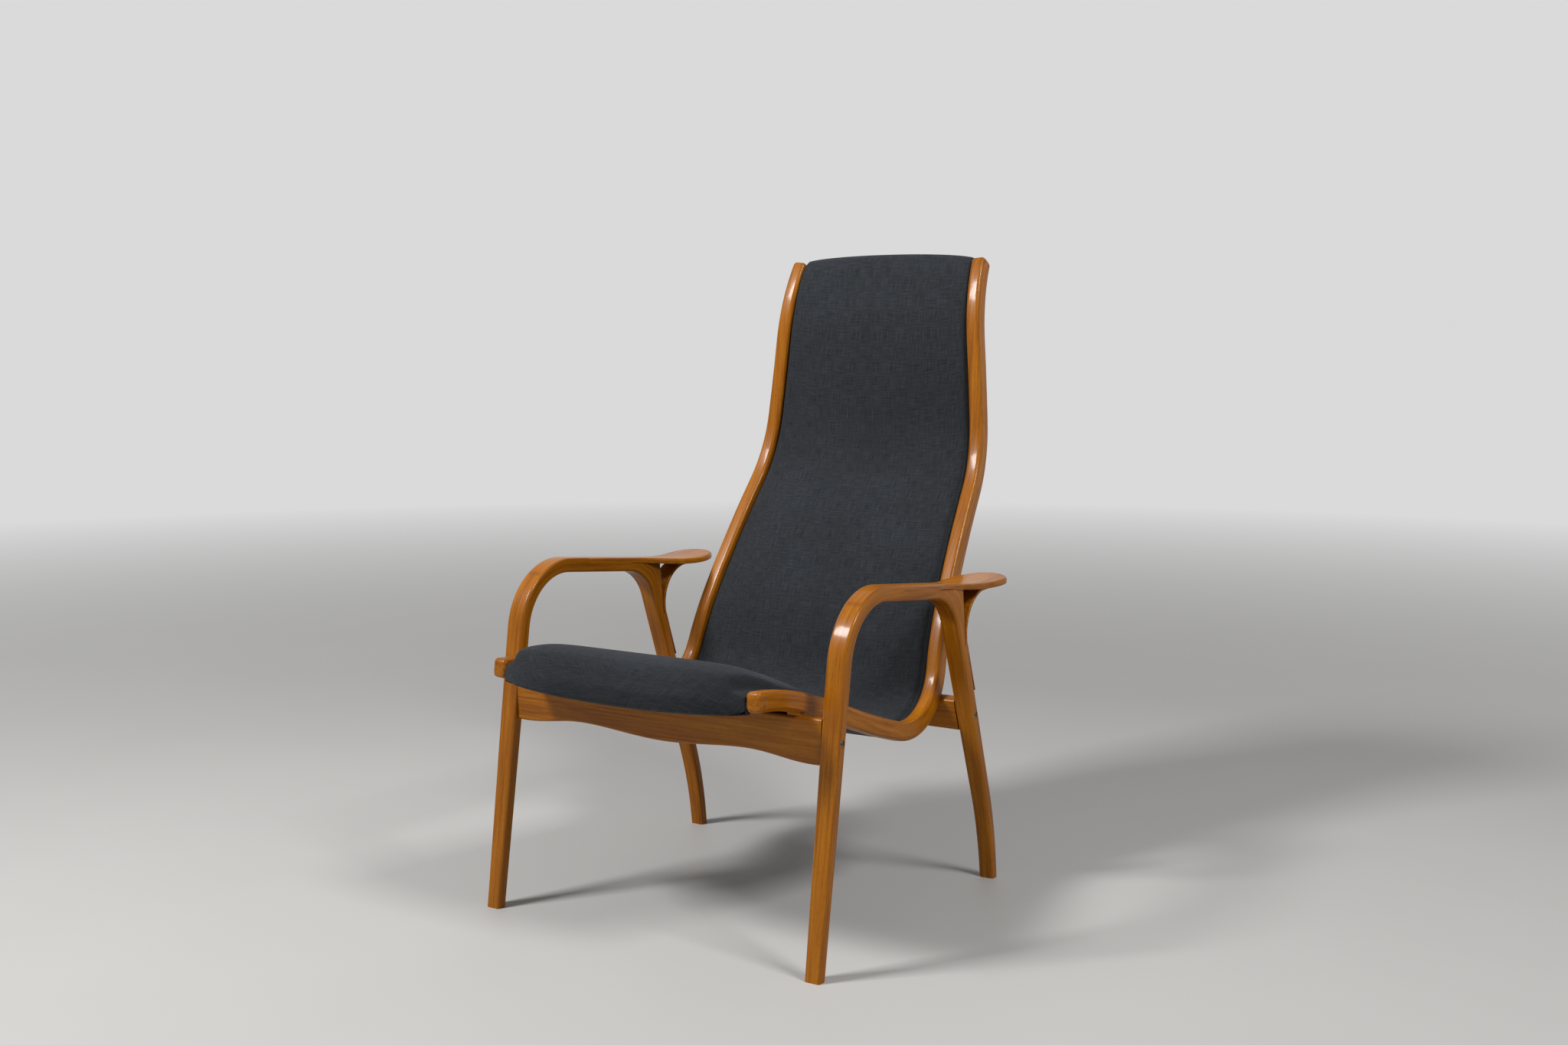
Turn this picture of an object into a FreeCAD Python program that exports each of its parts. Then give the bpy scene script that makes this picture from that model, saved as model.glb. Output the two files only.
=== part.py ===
import FreeCAD, Part
import os
from math import atan2, cos, degrees, radians, sin, tan

from FreeCAD import Placement, Rotation, Vector

# Lounge chair with two bentwood sides, two cross rails and an upholstered seat and back shell
# Millimetres. Z is up, the front faces -Y, X runs across the chair and x = 0 is its middle plane.
# Side outlines are drawn in (y, z) from a datum under the front feet, and datum_y puts that
# datum in the frame whose origin is the middle of the footprint on the floor.

DIMENSIONS = [
    ("datum_y", -322.5, "front foot datum, from the middle of the footprint"),
    ("leg_x", 287, "middle plane of each side frame"),
    ("leg_width_top", 31, "leg width across the chair, above the taper"),
    ("leg_width_foot", 25, "leg width at the floor"),
    ("leg_taper_height", 380, "height over which the width tapers"),
    ("leg_thick_foot", 17, "leg thickness at the floor, seen from the side"),
    ("leg_thick_top", 20, "leg thickness under the bend"),
    ("edge_round", 4.5, "rounding of the frame's long edges"),
    ("thin_round", 1.4, "rounding of the thin layers' edges"),
    ("front_foot_y", -1.5, "middle of the front foot"),
    ("front_rake", 8.3, "lean of the front leg from upright, degrees"),
    ("arm_line_y", 240, "station where the arm height is given"),
    ("arm_line_z", 515.5, "top of the arm at that station"),
    ("arm_slope", 6.1, "fall of the arm towards the back, degrees"),
    ("arm_thick", 23, "arm thickness, both layers"),
    ("bend_radius", 100, "front bend, along the middle of the layers"),
    ("rear_foot_y", 538.7, "middle of the rear foot"),
    ("rear_foot_rake", 7.4, "lean of the rear leg at the floor, degrees"),
    ("rear_rake", 20.1, "lean of the rear leg above its sweep, degrees"),
    ("sweep_z", 87, "height of the middle of the rear leg's sweep"),
    ("sweep_radius", 618, "radius of that sweep"),
    ("knee_radius", 80, "front of the rear leg where it runs into the arm"),
    ("knee_back_y", 408, "back of the knee under the armrest"),
    ("scarf_top_y", 350, "scarf between front and rear legs, upper end"),
    ("scarf_foot_y", 302, "scarf between front and rear legs, lower end"),
    ("armrest_thick", 9.5, "top layer of the arm, which is the armrest"),
    ("armrest_front_y", 215, "front end of the armrest layer"),
    ("armrest_rear_y", 547, "rear tip of the armrest"),
    ("armrest_curve_y", 415, "where the armrest starts to level out"),
    ("armrest_turn", 13, "how far the armrest levels out, degrees"),
    ("leaf_start_y", 330, "where the armrest starts to widen"),
    ("leaf_inward", 47, "inner edge of the leaf from the side frame's middle plane"),
    ("leaf_outward", 34, "outer edge of the leaf from the same plane"),
    ("brace_thick", 5.5, "thin brace behind the rear leg"),
    ("brace_radius", 66, "bend of the brace under the armrest"),
    ("brace_foot_z", 325, "lower end of the brace's scarf"),
    ("brace_leaves_z", 402, "where the brace leaves the leg"),
    ("brace_rear_y", 530, "rear end of the brace under the armrest"),
    ("brace_touch_y", 490, "middle of its glued stretch under the armrest"),
    ("rail_end_x", 271.6, "half length of the cross rails"),
    ("front_rail_thick", 18, "thickness of the front cross rail"),
    ("rear_rail_thick", 19, "thickness of the rear cross rail"),
    ("front_rail_y", 39, "front face of the front cross rail"),
    ("front_rail_top_z", 353, "top of the front cross rail"),
    ("front_rail_end_z", 288, "bottom of the front cross rail at its ends and middle"),
    ("front_rail_arch", 8, "rise of its bottom edge between ends and middle"),
    ("front_rail_flat", 228, "where the low flat at each end of its bottom edge starts"),
    ("front_rail_arch_x", 168, "where that rise is highest"),
    ("rear_rail_y", 455.4, "middle of the rear cross rail"),
    ("rear_rail_z", 284, "middle of the rear cross rail"),
    ("rear_rail_deep", 54, "depth of the rear cross rail"),
    ("rail_edge_round", 4, "rounding of the cross rails' edges"),
    ("front_bolt_z", 321, "height of the bolt through the front leg"),
    ("bolt_diameter", 6, "leg bolts"),
    ("bolt_head", 10, "head of a leg bolt"),
    ("bolt_head_tall", 5, "height of that head"),
    ("socket_across", 4.2, "socket in a bolt's head"),
    ("socket_deep", 3.5, "depth of that socket"),
    ("leaf_widest", 75, "from the armrest's rear end to its widest place"),
    ("bolt_sunk", 7, "depth of the counterbore"),
    ("bolt_length", 58, "leg bolt under its head"),
    ("nut_diameter", 10, "barrel nuts in the cross rails"),
    ("nut_length", 12, "length of a barrel nut"),
    ("dowel_diameter", 8, "dowels beside the leg bolts"),
    ("dowel_length", 30, "length of a dowel"),
    ("dowel_offset", 17, "dowel above or below the bolt"),
    ("side_rail_x", 257.5, "middle plane of a side rail, brought down to the floor datum"),
    ("side_rail_tilt", 4.97, "lean of the side rails towards each other, degrees"),
    ("side_rail_toe", 0.49, "side rails spread apart towards the back, degrees"),
    ("side_rail_wide", 24, "width of a side rail"),
    ("side_rail_deep", 29, "depth of a side rail across its layers"),
    ("side_rail_round", 6.5, "rounding of a side rail"),
    ("side_tip_y", -57, "front tip of the side rails, middle of the section"),
    ("side_tip_z", 389, "the same, height"),
    ("side_tip_rise", -2.5, "direction of the rail at its tip, degrees"),
    ("top_end_bulge", 3.5, "rounding out of a side rail's top end"),
    ("shell_sink", 14, "depth of the shell bolts' heads in the front cross rail"),
    ("shell_bolt_length", 74, "shell bolt under its head"),
    ("spacer_long", 18, "spacer between the front cross rail and a side rail, across the chair"),
    ("spacer_deep", 15, "the same, from front to back"),
    ("nut_x", 245, "barrel nut from the middle"),
    ("slat_back", 10.6, "back of a slat behind the shell's middle surface"),
    ("strap_back", 2.5, "front of the webbing behind the shell's middle surface"),
    ("pad_gap", 0.4, "clearance between upholstery and side rails"),
    ("cover_thick", 1.5, "upholstery fabric"),
    ("slat_thick", 9.2, "slats across the shell"),
    ("strap_thick", 2, "webbing"),
    ("strap_wide", 48, "webbing"),
]

# The side rail's line from tip to top: length of each arc and how far it turns, degrees
SIDE_RAIL_RUNS = [
    ("tip", 105, -14),
    ("seat_fall", 130, -5),
    ("seat_dip", 155, 5),
    ("crease", 175, 88),
    ("hip", 97, -12),
    ("lumbar", 214, -7),
    ("back_bend", 128, 32),
    ("shoulder", 133, 3),
    ("crown", 140, -28),
]

sides = [(1, "left"), (-1, "right")]

doc = FreeCAD.newDocument("LoungeChair")
sheet = doc.addObject("Spreadsheet::Sheet", "Sizes")


def fill_sheet():
    """Write every driving dimension into the spreadsheet, with its alias and meaning."""
    rows = list(DIMENSIONS)
    for name, length, turn in SIDE_RAIL_RUNS:
        rows.append((name + "_length", length, "side rail arc, length"))
        rows.append((name + "_turn", turn, "side rail arc, turn in degrees"))
    for number, (alias, value, meaning) in enumerate(rows, start=1):
        sheet.set("A%d" % number, str(value))
        sheet.setAlias("A%d" % number, alias)
        sheet.set("B%d" % number, meaning)
    doc.recompute()


fill_sheet()


def size(alias):
    """A driving dimension as a number."""
    return float(getattr(sheet, alias))


# Plane geometry: points are Vector(y, z, 0) in the side view, directions are degrees from +Y


def heading(angle):
    return Vector(cos(radians(angle)), sin(radians(angle)), 0)


def left_of(angle):
    return heading(angle + 90)


def meet(first, first_angle, second, second_angle):
    """Where two lines cross, each given by a point and a direction."""
    u = heading(first_angle)
    v = heading(second_angle)
    gap = second - first
    along = (gap.x * v.y - gap.y * v.x) / (u.x * v.y - u.y * v.x)
    return first + u * along


def corner(point, radius=0.0):
    return (point, radius)


def rounded_outline(corners):
    """Lines and arcs round a closed outline, from corners that may carry a radius."""
    stretches = []
    count = len(corners)
    for number, (here, radius) in enumerate(corners):
        if not radius:
            stretches.append((here, None, here))
            continue
        back = (corners[number - 1][0] - here).normalize()
        ahead = (corners[(number + 1) % count][0] - here).normalize()
        half = back.getAngle(ahead) / 2
        reach = radius / tan(half)
        inward = (back + ahead).normalize()
        middle = here + inward * (radius / sin(half) - radius)
        stretches.append((here + back * reach, middle, here + ahead * reach))
    pieces = []
    for number, (start, middle, end) in enumerate(stretches):
        if middle is not None:
            pieces.append(Part.Arc(start, middle, end))
        following = stretches[(number + 1) % count][0]
        if (following - end).Length > 0.001:
            pieces.append(Part.LineSegment(end, following))
    return pieces


# Building blocks


def frame_place(x=0.0):
    """Where a side outline's body stands: x across the chair, datum under the front feet."""
    return Placement(Vector(x, size("datum_y"), 0), Rotation())


def new_body(name, place):
    body = doc.addObject("PartDesign::Body", name)
    body.Label = name
    body.Placement = place
    return body


def origin_plane(body, role):
    for feature in body.Origin.OriginFeatures:
        if feature.Role == role:
            return feature
    raise ValueError("no plane " + role)


def new_sketch(body, role, name, geometry, offset=None):
    sketch = body.newObject("Sketcher::SketchObject", name)
    sketch.AttachmentSupport = [(origin_plane(body, role), "")]
    sketch.MapMode = "FlatFace"
    if offset is not None:
        sketch.AttachmentOffset = offset
    sketch.addGeometry(geometry, False)
    return sketch


def new_pad(body, sketch, name, length):
    """Pad a sketch to both sides of its plane; length is a cell's alias."""
    pad = body.newObject("PartDesign::Pad", name)
    pad.Profile = sketch
    pad.SideType = "Symmetric"
    pad.setExpression("Length", "Sizes." + length)
    sketch.Visibility = False
    doc.recompute()
    return pad


def new_pocket(body, sketch, name, reach=1000):
    """Cut a sketch's area out on both sides of its plane."""
    before = body.Shape.Volume
    pocket = body.newObject("PartDesign::Pocket", name)
    pocket.Profile = sketch
    pocket.SideType = "Symmetric"
    pocket.Length = reach
    doc.recompute()
    if not body.Shape.Volume < before - 1:
        raise ValueError("pocket %s cuts nothing" % name)
    return pocket


def round_edges(body, base, name, alias, wanted):
    """Fillet the base feature's edges that the test wanted(edge) picks."""
    names = []
    for number, edge in enumerate(base.Shape.Edges, start=1):
        if wanted(edge):
            names.append("Edge%d" % number)
    fillet = body.newObject("PartDesign::Fillet", name)
    fillet.Base = (base, names)
    fillet.setExpression("Radius", "Sizes." + alias)
    doc.recompute()
    return fillet


def runs_across(edge):
    """True for an edge that lies straight across the chair."""
    ends = [vertex.Point for vertex in edge.Vertexes]
    return len(ends) == 2 and abs(abs((ends[0] - ends[1]).normalize().x) - 1) < 0.01


def outline_edge(joints):
    """A test for the long edges of a leg: not across it, not on the floor and not at a glue joint."""
    near = 0.6
    taper_z = size("leg_taper_height")

    def wanted(edge):
        if runs_across(edge):
            return False
        ends = [Vector(vertex.Point.y, vertex.Point.z, 0) for vertex in edge.Vertexes]
        if len(ends) != 2 or max(end.y for end in ends) < near:
            return False
        if all(abs(end.y - taper_z) < near for end in ends):
            return False
        for first, last in joints:
            if all(end.distanceToLineSegment(first, last).Length < near for end in ends):
                return False
        return True

    return wanted


# Lines of the side frame


def front_face_lines():
    """Front and rear faces of the front leg: a floor point and a direction for each."""
    rise = size("leg_taper_height")
    spread = (size("leg_thick_top") - size("leg_thick_foot")) / 2
    widen = degrees(atan2(spread, rise))
    lean = 90 - size("front_rake")
    half = size("leg_thick_foot") / 2 / cos(radians(size("front_rake")))
    front = Vector(size("front_foot_y") - half, 0, 0)
    rear = Vector(size("front_foot_y") + half, 0, 0)
    return (front, lean + widen), (rear, lean - widen)


def arm_line(depth):
    """Straight stretch of the arm, depth below its top: a point and a direction."""
    angle = -size("arm_slope")
    top = Vector(size("arm_line_y"), size("arm_line_z"), 0)
    return top - left_of(angle) * depth, angle


def arm_point(depth, y):
    point, angle = arm_line(depth)
    return meet(point, angle, Vector(y, 0, 0), 90)


def rear_axis():
    """Middle line of the rear leg: foot, sweep corner and the two directions going up."""
    foot = Vector(size("rear_foot_y"), 0, 0)
    low = 90 + size("rear_foot_rake")
    sweep = meet(foot, low, Vector(0, size("sweep_z"), 0), 0)
    return foot, low, sweep, 90 + size("rear_rake")


def rear_face(side):
    """Corners of one face of the rear leg, side +1 for its back and -1 for its front."""
    foot, low, sweep, high = rear_axis()
    half_foot = size("leg_thick_foot") / 2
    half_top = size("leg_thick_top") / 2
    half_sweep = (half_foot + half_top) / 2
    floor_point = foot + Vector(side * half_foot / cos(radians(size("rear_foot_rake"))), 0, 0)
    bisector = (low + high) / 2
    sweep_point = sweep - left_of(bisector) * (side * half_sweep)
    widen = degrees(atan2(half_top - half_sweep, size("leg_taper_height") - size("sweep_z")))
    return floor_point, sweep_point, high - side * widen


# Side frames


def taper_legs(body, name):
    """Take the two thin wedges off that narrow a leg towards the floor."""
    top = size("leg_width_top") / 2
    foot = size("leg_width_foot") / 2
    rise = size("leg_taper_height")
    for side in (1, -1):
        wedge = rounded_outline([
            corner(Vector(side * foot, -1, 0)),
            corner(Vector(side * (top + 1), -1, 0)),
            corner(Vector(side * (top + 1), rise, 0)),
            corner(Vector(side * top, rise, 0)),
            corner(Vector(side * foot, 0, 0)),
        ])
        sketch = new_sketch(body, "XZ_Plane", "%s_taper_%s" % (name, "out" if side > 0 else "in"), wedge)
        new_pocket(body, sketch, sketch.Name + "_cut", 3000)


def bore_leg(body, name, outward, y, z, lean):
    """Bolt hole with a counterbore in the outer face, and two dowel holes in the inner face."""
    clear = 0.2
    centre = Vector(y, z, 0)
    hole = round_hole(centre, size("bolt_diameter") + 2 * clear)
    sketch = new_sketch(body, "YZ_Plane", name + "_bolt_hole", [hole])
    new_pocket(body, sketch, name + "_bolt_cut", 100)
    half = size("leg_width_top") / 2
    depth = 40
    sink = round_hole(centre, size("bolt_head") + 1)
    place = Placement(Vector(0, 0, outward * (half - size("bolt_sunk") + depth / 2)), Rotation())
    sketch = new_sketch(body, "YZ_Plane", name + "_sink", [sink], place)
    new_pocket(body, sketch, name + "_sink_cut", depth)
    dowels = [
        round_hole(centre + heading(90 + lean) * (step * size("dowel_offset")), size("dowel_diameter") + clear)
        for step in (1, -1)
    ]
    inside = Placement(Vector(0, 0, -outward * half / 2), Rotation())
    sketch = new_sketch(body, "YZ_Plane", name + "_dowel_holes", dowels, inside)
    new_pocket(body, sketch, name + "_dowel_cut", half + 1)


def round_hole(centre, diameter):
    return Part.Circle(centre, Vector(0, 0, 1), diameter / 2)


def make_front_leg(side, word):
    name = word + "_front_leg"
    body = new_body(name, frame_place(side * size("leg_x")))
    (front, front_angle), (rear, rear_angle) = front_face_lines()
    thick = size("arm_thick")
    layer = size("armrest_thick")
    half_thick = thick / 2
    outer = meet(front, front_angle, *arm_line(0))
    inner = meet(rear, rear_angle, *arm_line(thick))
    outline = rounded_outline([
        corner(front),
        corner(outer, size("bend_radius") + half_thick),
        corner(arm_point(0, size("armrest_front_y"))),
        corner(arm_point(layer, size("armrest_front_y") + 3)),
        corner(arm_point(layer, size("scarf_top_y"))),
        corner(arm_point(thick, size("scarf_foot_y"))),
        corner(inner, size("bend_radius") - half_thick),
        corner(rear),
    ])
    sketch = new_sketch(body, "YZ_Plane", name + "_outline", outline)
    new_pad(body, sketch, name + "_pad", "leg_width_top")
    taper_legs(body, name)
    joints = [
        (arm_point(layer, size("armrest_front_y") + 3), arm_point(layer, size("scarf_top_y"))),
        (arm_point(0, size("armrest_front_y")), arm_point(layer, size("armrest_front_y") + 3)),
        (arm_point(layer, size("scarf_top_y")), arm_point(thick, size("scarf_foot_y"))),
    ]
    round_edges(body, body.Tip, name + "_round", "edge_round", outline_edge(joints))
    bore_leg(body, name, side, front_bolt_y(), size("front_bolt_z"), 0)
    return body


def front_bolt_y():
    """Middle of the front leg at the bolt's height."""
    return size("front_foot_y") + size("front_bolt_z") * tan(radians(size("front_rake")))


def knee_corners():
    """Corners that the rear leg and the brace share: their scarf's start, its end and the face outside."""
    floor_point, sweep_point, angle = rear_face(1)
    start = meet(sweep_point, angle, Vector(0, size("brace_foot_z"), 0), 0)
    above = meet(sweep_point, angle, Vector(0, size("brace_leaves_z"), 0), 0)
    end = above + left_of(angle) * size("brace_thick")
    return start, end, above


def make_rear_leg(side, word):
    name = word + "_rear_leg"
    body = new_body(name, frame_place(side * size("leg_x")))
    front_foot, front_sweep, front_angle = rear_face(-1)
    back_foot, back_sweep, back_angle = rear_face(1)
    knee = meet(front_sweep, front_angle, *arm_line(size("arm_thick")))
    scarf_start, scarf_end, scarf_outer = knee_corners()
    layer = size("armrest_thick")
    outline = rounded_outline([
        corner(front_foot),
        corner(front_sweep, size("sweep_radius") - size("leg_thick_top") / 2),
        corner(knee, size("knee_radius")),
        corner(arm_point(size("arm_thick"), size("scarf_foot_y"))),
        corner(arm_point(layer, size("scarf_top_y"))),
        corner(arm_point(layer, size("knee_back_y"))),
        corner(scarf_end),
        corner(scarf_outer),
        corner(back_sweep, size("sweep_radius") + size("leg_thick_top") / 2),
        corner(back_foot),
    ])
    sketch = new_sketch(body, "YZ_Plane", name + "_outline", outline)
    new_pad(body, sketch, name + "_pad", "leg_width_top")
    taper_legs(body, name)
    joints = [
        (arm_point(size("arm_thick"), size("scarf_foot_y")), arm_point(layer, size("scarf_top_y"))),
        (arm_point(layer, size("scarf_top_y")), arm_point(layer, size("knee_back_y"))),
        (scarf_outer, scarf_end),
    ]
    round_edges(body, body.Tip, name + "_round", "edge_round", outline_edge(joints))
    wedge = rounded_outline([
        corner(scarf_start),
        corner(scarf_end),
        corner(scarf_end + left_of(back_angle) * -12),
        corner(scarf_start + left_of(back_angle) * -8),
    ])
    sketch = new_sketch(body, "YZ_Plane", name + "_scarf", wedge)
    new_pocket(body, sketch, name + "_scarf_cut", 100)
    bore_leg(body, name, side, size("rear_rail_y"), size("rear_rail_z"), size("rear_rake"))
    return body


def make_brace(side, word):
    """Thin layer from the back of the rear leg round and along under the armrest."""
    name = word + "_arm_brace"
    body = new_body(name, frame_place(side * size("leg_x")))
    thick = size("brace_thick")
    start, end, back_start = knee_corners()
    knee_top = arm_point(size("armrest_thick"), size("knee_back_y"))
    high = degrees(atan2(knee_top.y - end.y, knee_top.x - end.x))
    bend = size("brace_radius")
    under, angle = armrest_under(size("brace_touch_y"))
    lower = under - left_of(angle) * thick
    rear = Vector(size("brace_rear_y"), 0, 0)
    outline = rounded_outline([
        corner(start),
        corner(end),
        corner(meet(end, high, under, angle), bend),
        corner(meet(under, angle, rear, 90)),
        corner(meet(under - left_of(angle) * (thick * 0.65), angle, rear, 90)),
        corner(meet(lower, angle, rear - heading(0) * 34, 90), 100),
        corner(meet(back_start, high, lower, angle), bend - thick),
        corner(back_start),
    ])
    sketch = new_sketch(body, "YZ_Plane", name + "_outline", outline)
    new_pad(body, sketch, name + "_pad", "leg_width_top")
    glued = [(start, end), (start, back_start)]
    round_edges(body, body.Tip, name + "_round", "thin_round", outline_edge(glued))
    return body


def armrest_under(y):
    """Point and direction of the armrest's underside where it levels out."""
    start = size("armrest_curve_y")
    share = (y - start) / (size("armrest_rear_y") - start)
    turn = size("armrest_turn") * share
    bend = arm_point(size("armrest_thick") + 0.02, start)
    angle = -size("arm_slope")
    return bend + heading(angle + turn / 2) * (y - start), angle + turn


def armrest_side_lines():
    """Top and underside of the armrest in the side view, straight and then levelling out."""
    layer = size("armrest_thick")
    start = size("armrest_curve_y")
    turn = size("armrest_turn")
    reach = size("armrest_rear_y") - start
    turn = turn * (reach + 12) / reach
    reach += 12
    lines = []
    for depth in (0, layer):
        bend = arm_point(depth, start)
        angle = -size("arm_slope")
        middle = bend + heading(angle + turn / 4) * (reach / 2)
        end = bend + heading(angle + turn / 2) * reach
        lines.append((bend, middle, end))
    return lines


def make_armrest(side, word):
    """Leaf-shaped board: a bent layer whose outline widens towards its round rear end."""
    name = word + "_armrest"
    body = new_body(name, frame_place(side * size("leg_x")))
    layer = size("armrest_thick")
    (top_bend, top_middle, top_end), (low_bend, low_middle, low_end) = armrest_side_lines()
    front_top = arm_point(0, size("armrest_front_y"))
    front_low = arm_point(layer, size("armrest_front_y") + 3)
    side_view = [
        Part.LineSegment(front_top, top_bend),
        Part.Arc(top_bend, top_middle, top_end),
        Part.LineSegment(top_end, low_end),
        Part.Arc(low_end, low_middle, low_bend),
        Part.LineSegment(low_bend, front_low),
        Part.LineSegment(front_low, front_top),
    ]
    sketch = new_sketch(body, "YZ_Plane", name + "_side", side_view)
    pad = body.newObject("PartDesign::Pad", name + "_pad")
    pad.Profile = sketch
    pad.SideType = "Symmetric"
    pad.Length = 160
    doc.recompute()

    half = size("leg_width_top") / 2
    front = size("armrest_front_y") - 5
    flare = size("leaf_start_y")
    rear = size("armrest_rear_y")
    inner = -side * size("leaf_inward")
    outer = side * size("leaf_outward")
    widest = rear - size("leaf_widest")
    leaf_in = Part.BSplineCurve()
    leaf_in.interpolate([
        Vector(-side * half, flare, 0),
        Vector(-side * (half + 9), flare + 60, 0),
        Vector(inner * 0.92, widest - 30, 0),
        Vector(inner, widest + 25, 0),
        Vector(inner * 0.55, rear - 7, 0),
        Vector(side * 2, rear, 0),
        Vector(outer * 0.88, rear - 18, 0),
        Vector(outer, widest + 15, 0),
        Vector(side * (half + 4), widest - 70, 0),
        Vector(side * half, flare, 0),
    ])
    leaf = [
        Part.LineSegment(Vector(-side * half, front, 0), Vector(-side * half, flare, 0)),
        leaf_in,
        Part.LineSegment(Vector(side * half, flare, 0), Vector(side * half, front, 0)),
        Part.LineSegment(Vector(side * half, front, 0), Vector(-side * half, front, 0)),
    ]
    edge = 90
    around = rounded_outline([
        corner(Vector(-edge, front - 20, 0)),
        corner(Vector(edge, front - 20, 0)),
        corner(Vector(edge, rear + 40, 0)),
        corner(Vector(-edge, rear + 40, 0)),
    ])
    sketch = new_sketch(body, "XY_Plane", name + "_plan", around + leaf)
    new_pocket(body, sketch, name + "_plan_cut", 2000)
    round_edges(body, body.Tip, name + "_round_top", "edge_round", armrest_edge(True))
    round_edges(body, body.Tip, name + "_round_under", "thin_round", armrest_edge(False))
    return body


def armrest_edge(on_top):
    """A test for the armrest's long edges: on top, or on the underside where nothing is glued."""
    layer = size("armrest_thick")

    def wanted(edge):
        first, last = edge.ParameterRange
        points = [edge.valueAt(first + (last - first) * share) for share in (0.02, 0.5, 0.98)]
        flat = [abs(edge.tangentAt(first + (last - first) * share).normalize().z) for share in (0.1, 0.5, 0.9)]
        if runs_across(edge) or max(flat) > 0.5:
            return False
        middle = points[1]
        if middle.y < size("armrest_curve_y"):
            depth = arm_point(0, middle.y).y - middle.z
        else:
            tops = armrest_side_lines()[0]
            share = (middle.y - tops[0].x) / (tops[2].x - tops[0].x)
            depth = tops[0].y + (tops[2].y - tops[0].y) * share - middle.z
        if on_top:
            return depth < layer * 0.4
        return depth > layer * 0.75 and middle.y > size("leaf_start_y")

    return wanted


def make_front_rail():
    """Apron between the front legs, with a shallow double bow along its bottom edge."""
    name = "front_cross_rail"
    place = frame_place()
    middle_y = size("front_rail_y") + size("front_rail_thick") / 2
    place.Base.y += middle_y
    body = new_body(name, place)
    end = size("rail_end_x")
    top = size("front_rail_top_z")
    low = size("front_rail_end_z")
    bow_x = size("front_rail_arch_x")
    bow_z = low + size("front_rail_arch")
    bow = Part.BSplineCurve()
    flat = size("front_rail_flat")
    bow.interpolate([
        Vector(end, low, 0),
        Vector(flat, low + 1, 0),
        Vector(bow_x, bow_z, 0),
        Vector(bow_x / 2, (low + bow_z) / 2 + 1, 0),
        Vector(0, low, 0),
        Vector(-bow_x / 2, (low + bow_z) / 2 + 1, 0),
        Vector(-bow_x, bow_z, 0),
        Vector(-flat, low + 1, 0),
        Vector(-end, low, 0),
    ])
    outline = [
        bow,
        Part.LineSegment(Vector(-end, low, 0), Vector(-end, top, 0)),
        Part.LineSegment(Vector(-end, top, 0), Vector(end, top, 0)),
        Part.LineSegment(Vector(end, top, 0), Vector(end, low, 0)),
    ]
    sketch = new_sketch(body, "XZ_Plane", name + "_outline", outline)
    new_pad(body, sketch, name + "_pad", "front_rail_thick")
    round_edges(body, body.Tip, name + "_round", "rail_edge_round", rail_long_edge)
    bore_rail(body, name, front_bolt_y() - middle_y, size("front_bolt_z"), size("front_rail_thick"))
    clear = 0.2
    holes = [
        round_hole(Vector(side * shell_bolt_x(), 0, 0), size("bolt_diameter") + 2 * clear)
        for side in (1, -1)
    ]
    sketch = new_sketch(body, "XY_Plane", name + "_shell_holes", holes)
    new_pocket(body, sketch, name + "_shell_cut", 1000)
    sinks = [round_hole(Vector(side * shell_bolt_x(), 0, 0), size("bolt_head") + 1) for side in (1, -1)]
    lift = Placement(Vector(0, 0, low), Rotation())
    sketch = new_sketch(body, "XY_Plane", name + "_sinks", sinks, lift)
    new_pocket(body, sketch, name + "_sink_cut", 2 * size("shell_sink"))
    return body


def shell_bolt_x():
    """How far from the middle the bolts into the side rails stand, at the front cross rail."""
    drop = (size("front_rail_top_z") + 20) * tan(radians(size("side_rail_tilt")))
    return size("side_rail_x") - drop


def rail_long_edge(edge):
    """True for a cross rail's edge that runs from end to end."""
    xs = [vertex.Point.x for vertex in edge.Vertexes]
    return len(xs) == 2 and abs(xs[0] - xs[1]) > 100


def bore_rail(body, name, bolt_y, bolt_z, thick):
    """Bolt, barrel nut and dowel holes at both ends of a cross rail."""
    end = size("rail_end_x")
    clear = 0.2
    for side, word in sides:
        at_end = Placement(Vector(0, 0, side * end), Rotation())
        bolt = round_hole(Vector(bolt_y, bolt_z, 0), size("bolt_diameter") + 2 * clear)
        sketch = new_sketch(body, "YZ_Plane", name + "_bolt_" + word, [bolt], at_end)
        new_pocket(body, sketch, sketch.Name + "_cut", 2 * (size("bolt_length") - 20))
        dowels = [
            round_hole(Vector(bolt_y, bolt_z + step * size("dowel_offset"), 0), size("dowel_diameter") + clear)
            for step in (1, -1)
        ]
        sketch = new_sketch(body, "YZ_Plane", name + "_dowels_" + word, dowels, at_end)
        new_pocket(body, sketch, sketch.Name + "_cut", size("dowel_length") + 1)
    nuts = [
        round_hole(Vector(side * size("nut_x"), bolt_z, 0), size("nut_diameter") + clear)
        for side in (1, -1)
    ]
    rear = Placement(Vector(0, 0, -thick / 2), Rotation())
    depth = thick / 2 - bolt_y + size("nut_length") / 2 + clear
    sketch = new_sketch(body, "XZ_Plane", name + "_nuts", nuts, rear)
    new_pocket(body, sketch, name + "_nut_cut", 2 * depth)


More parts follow.
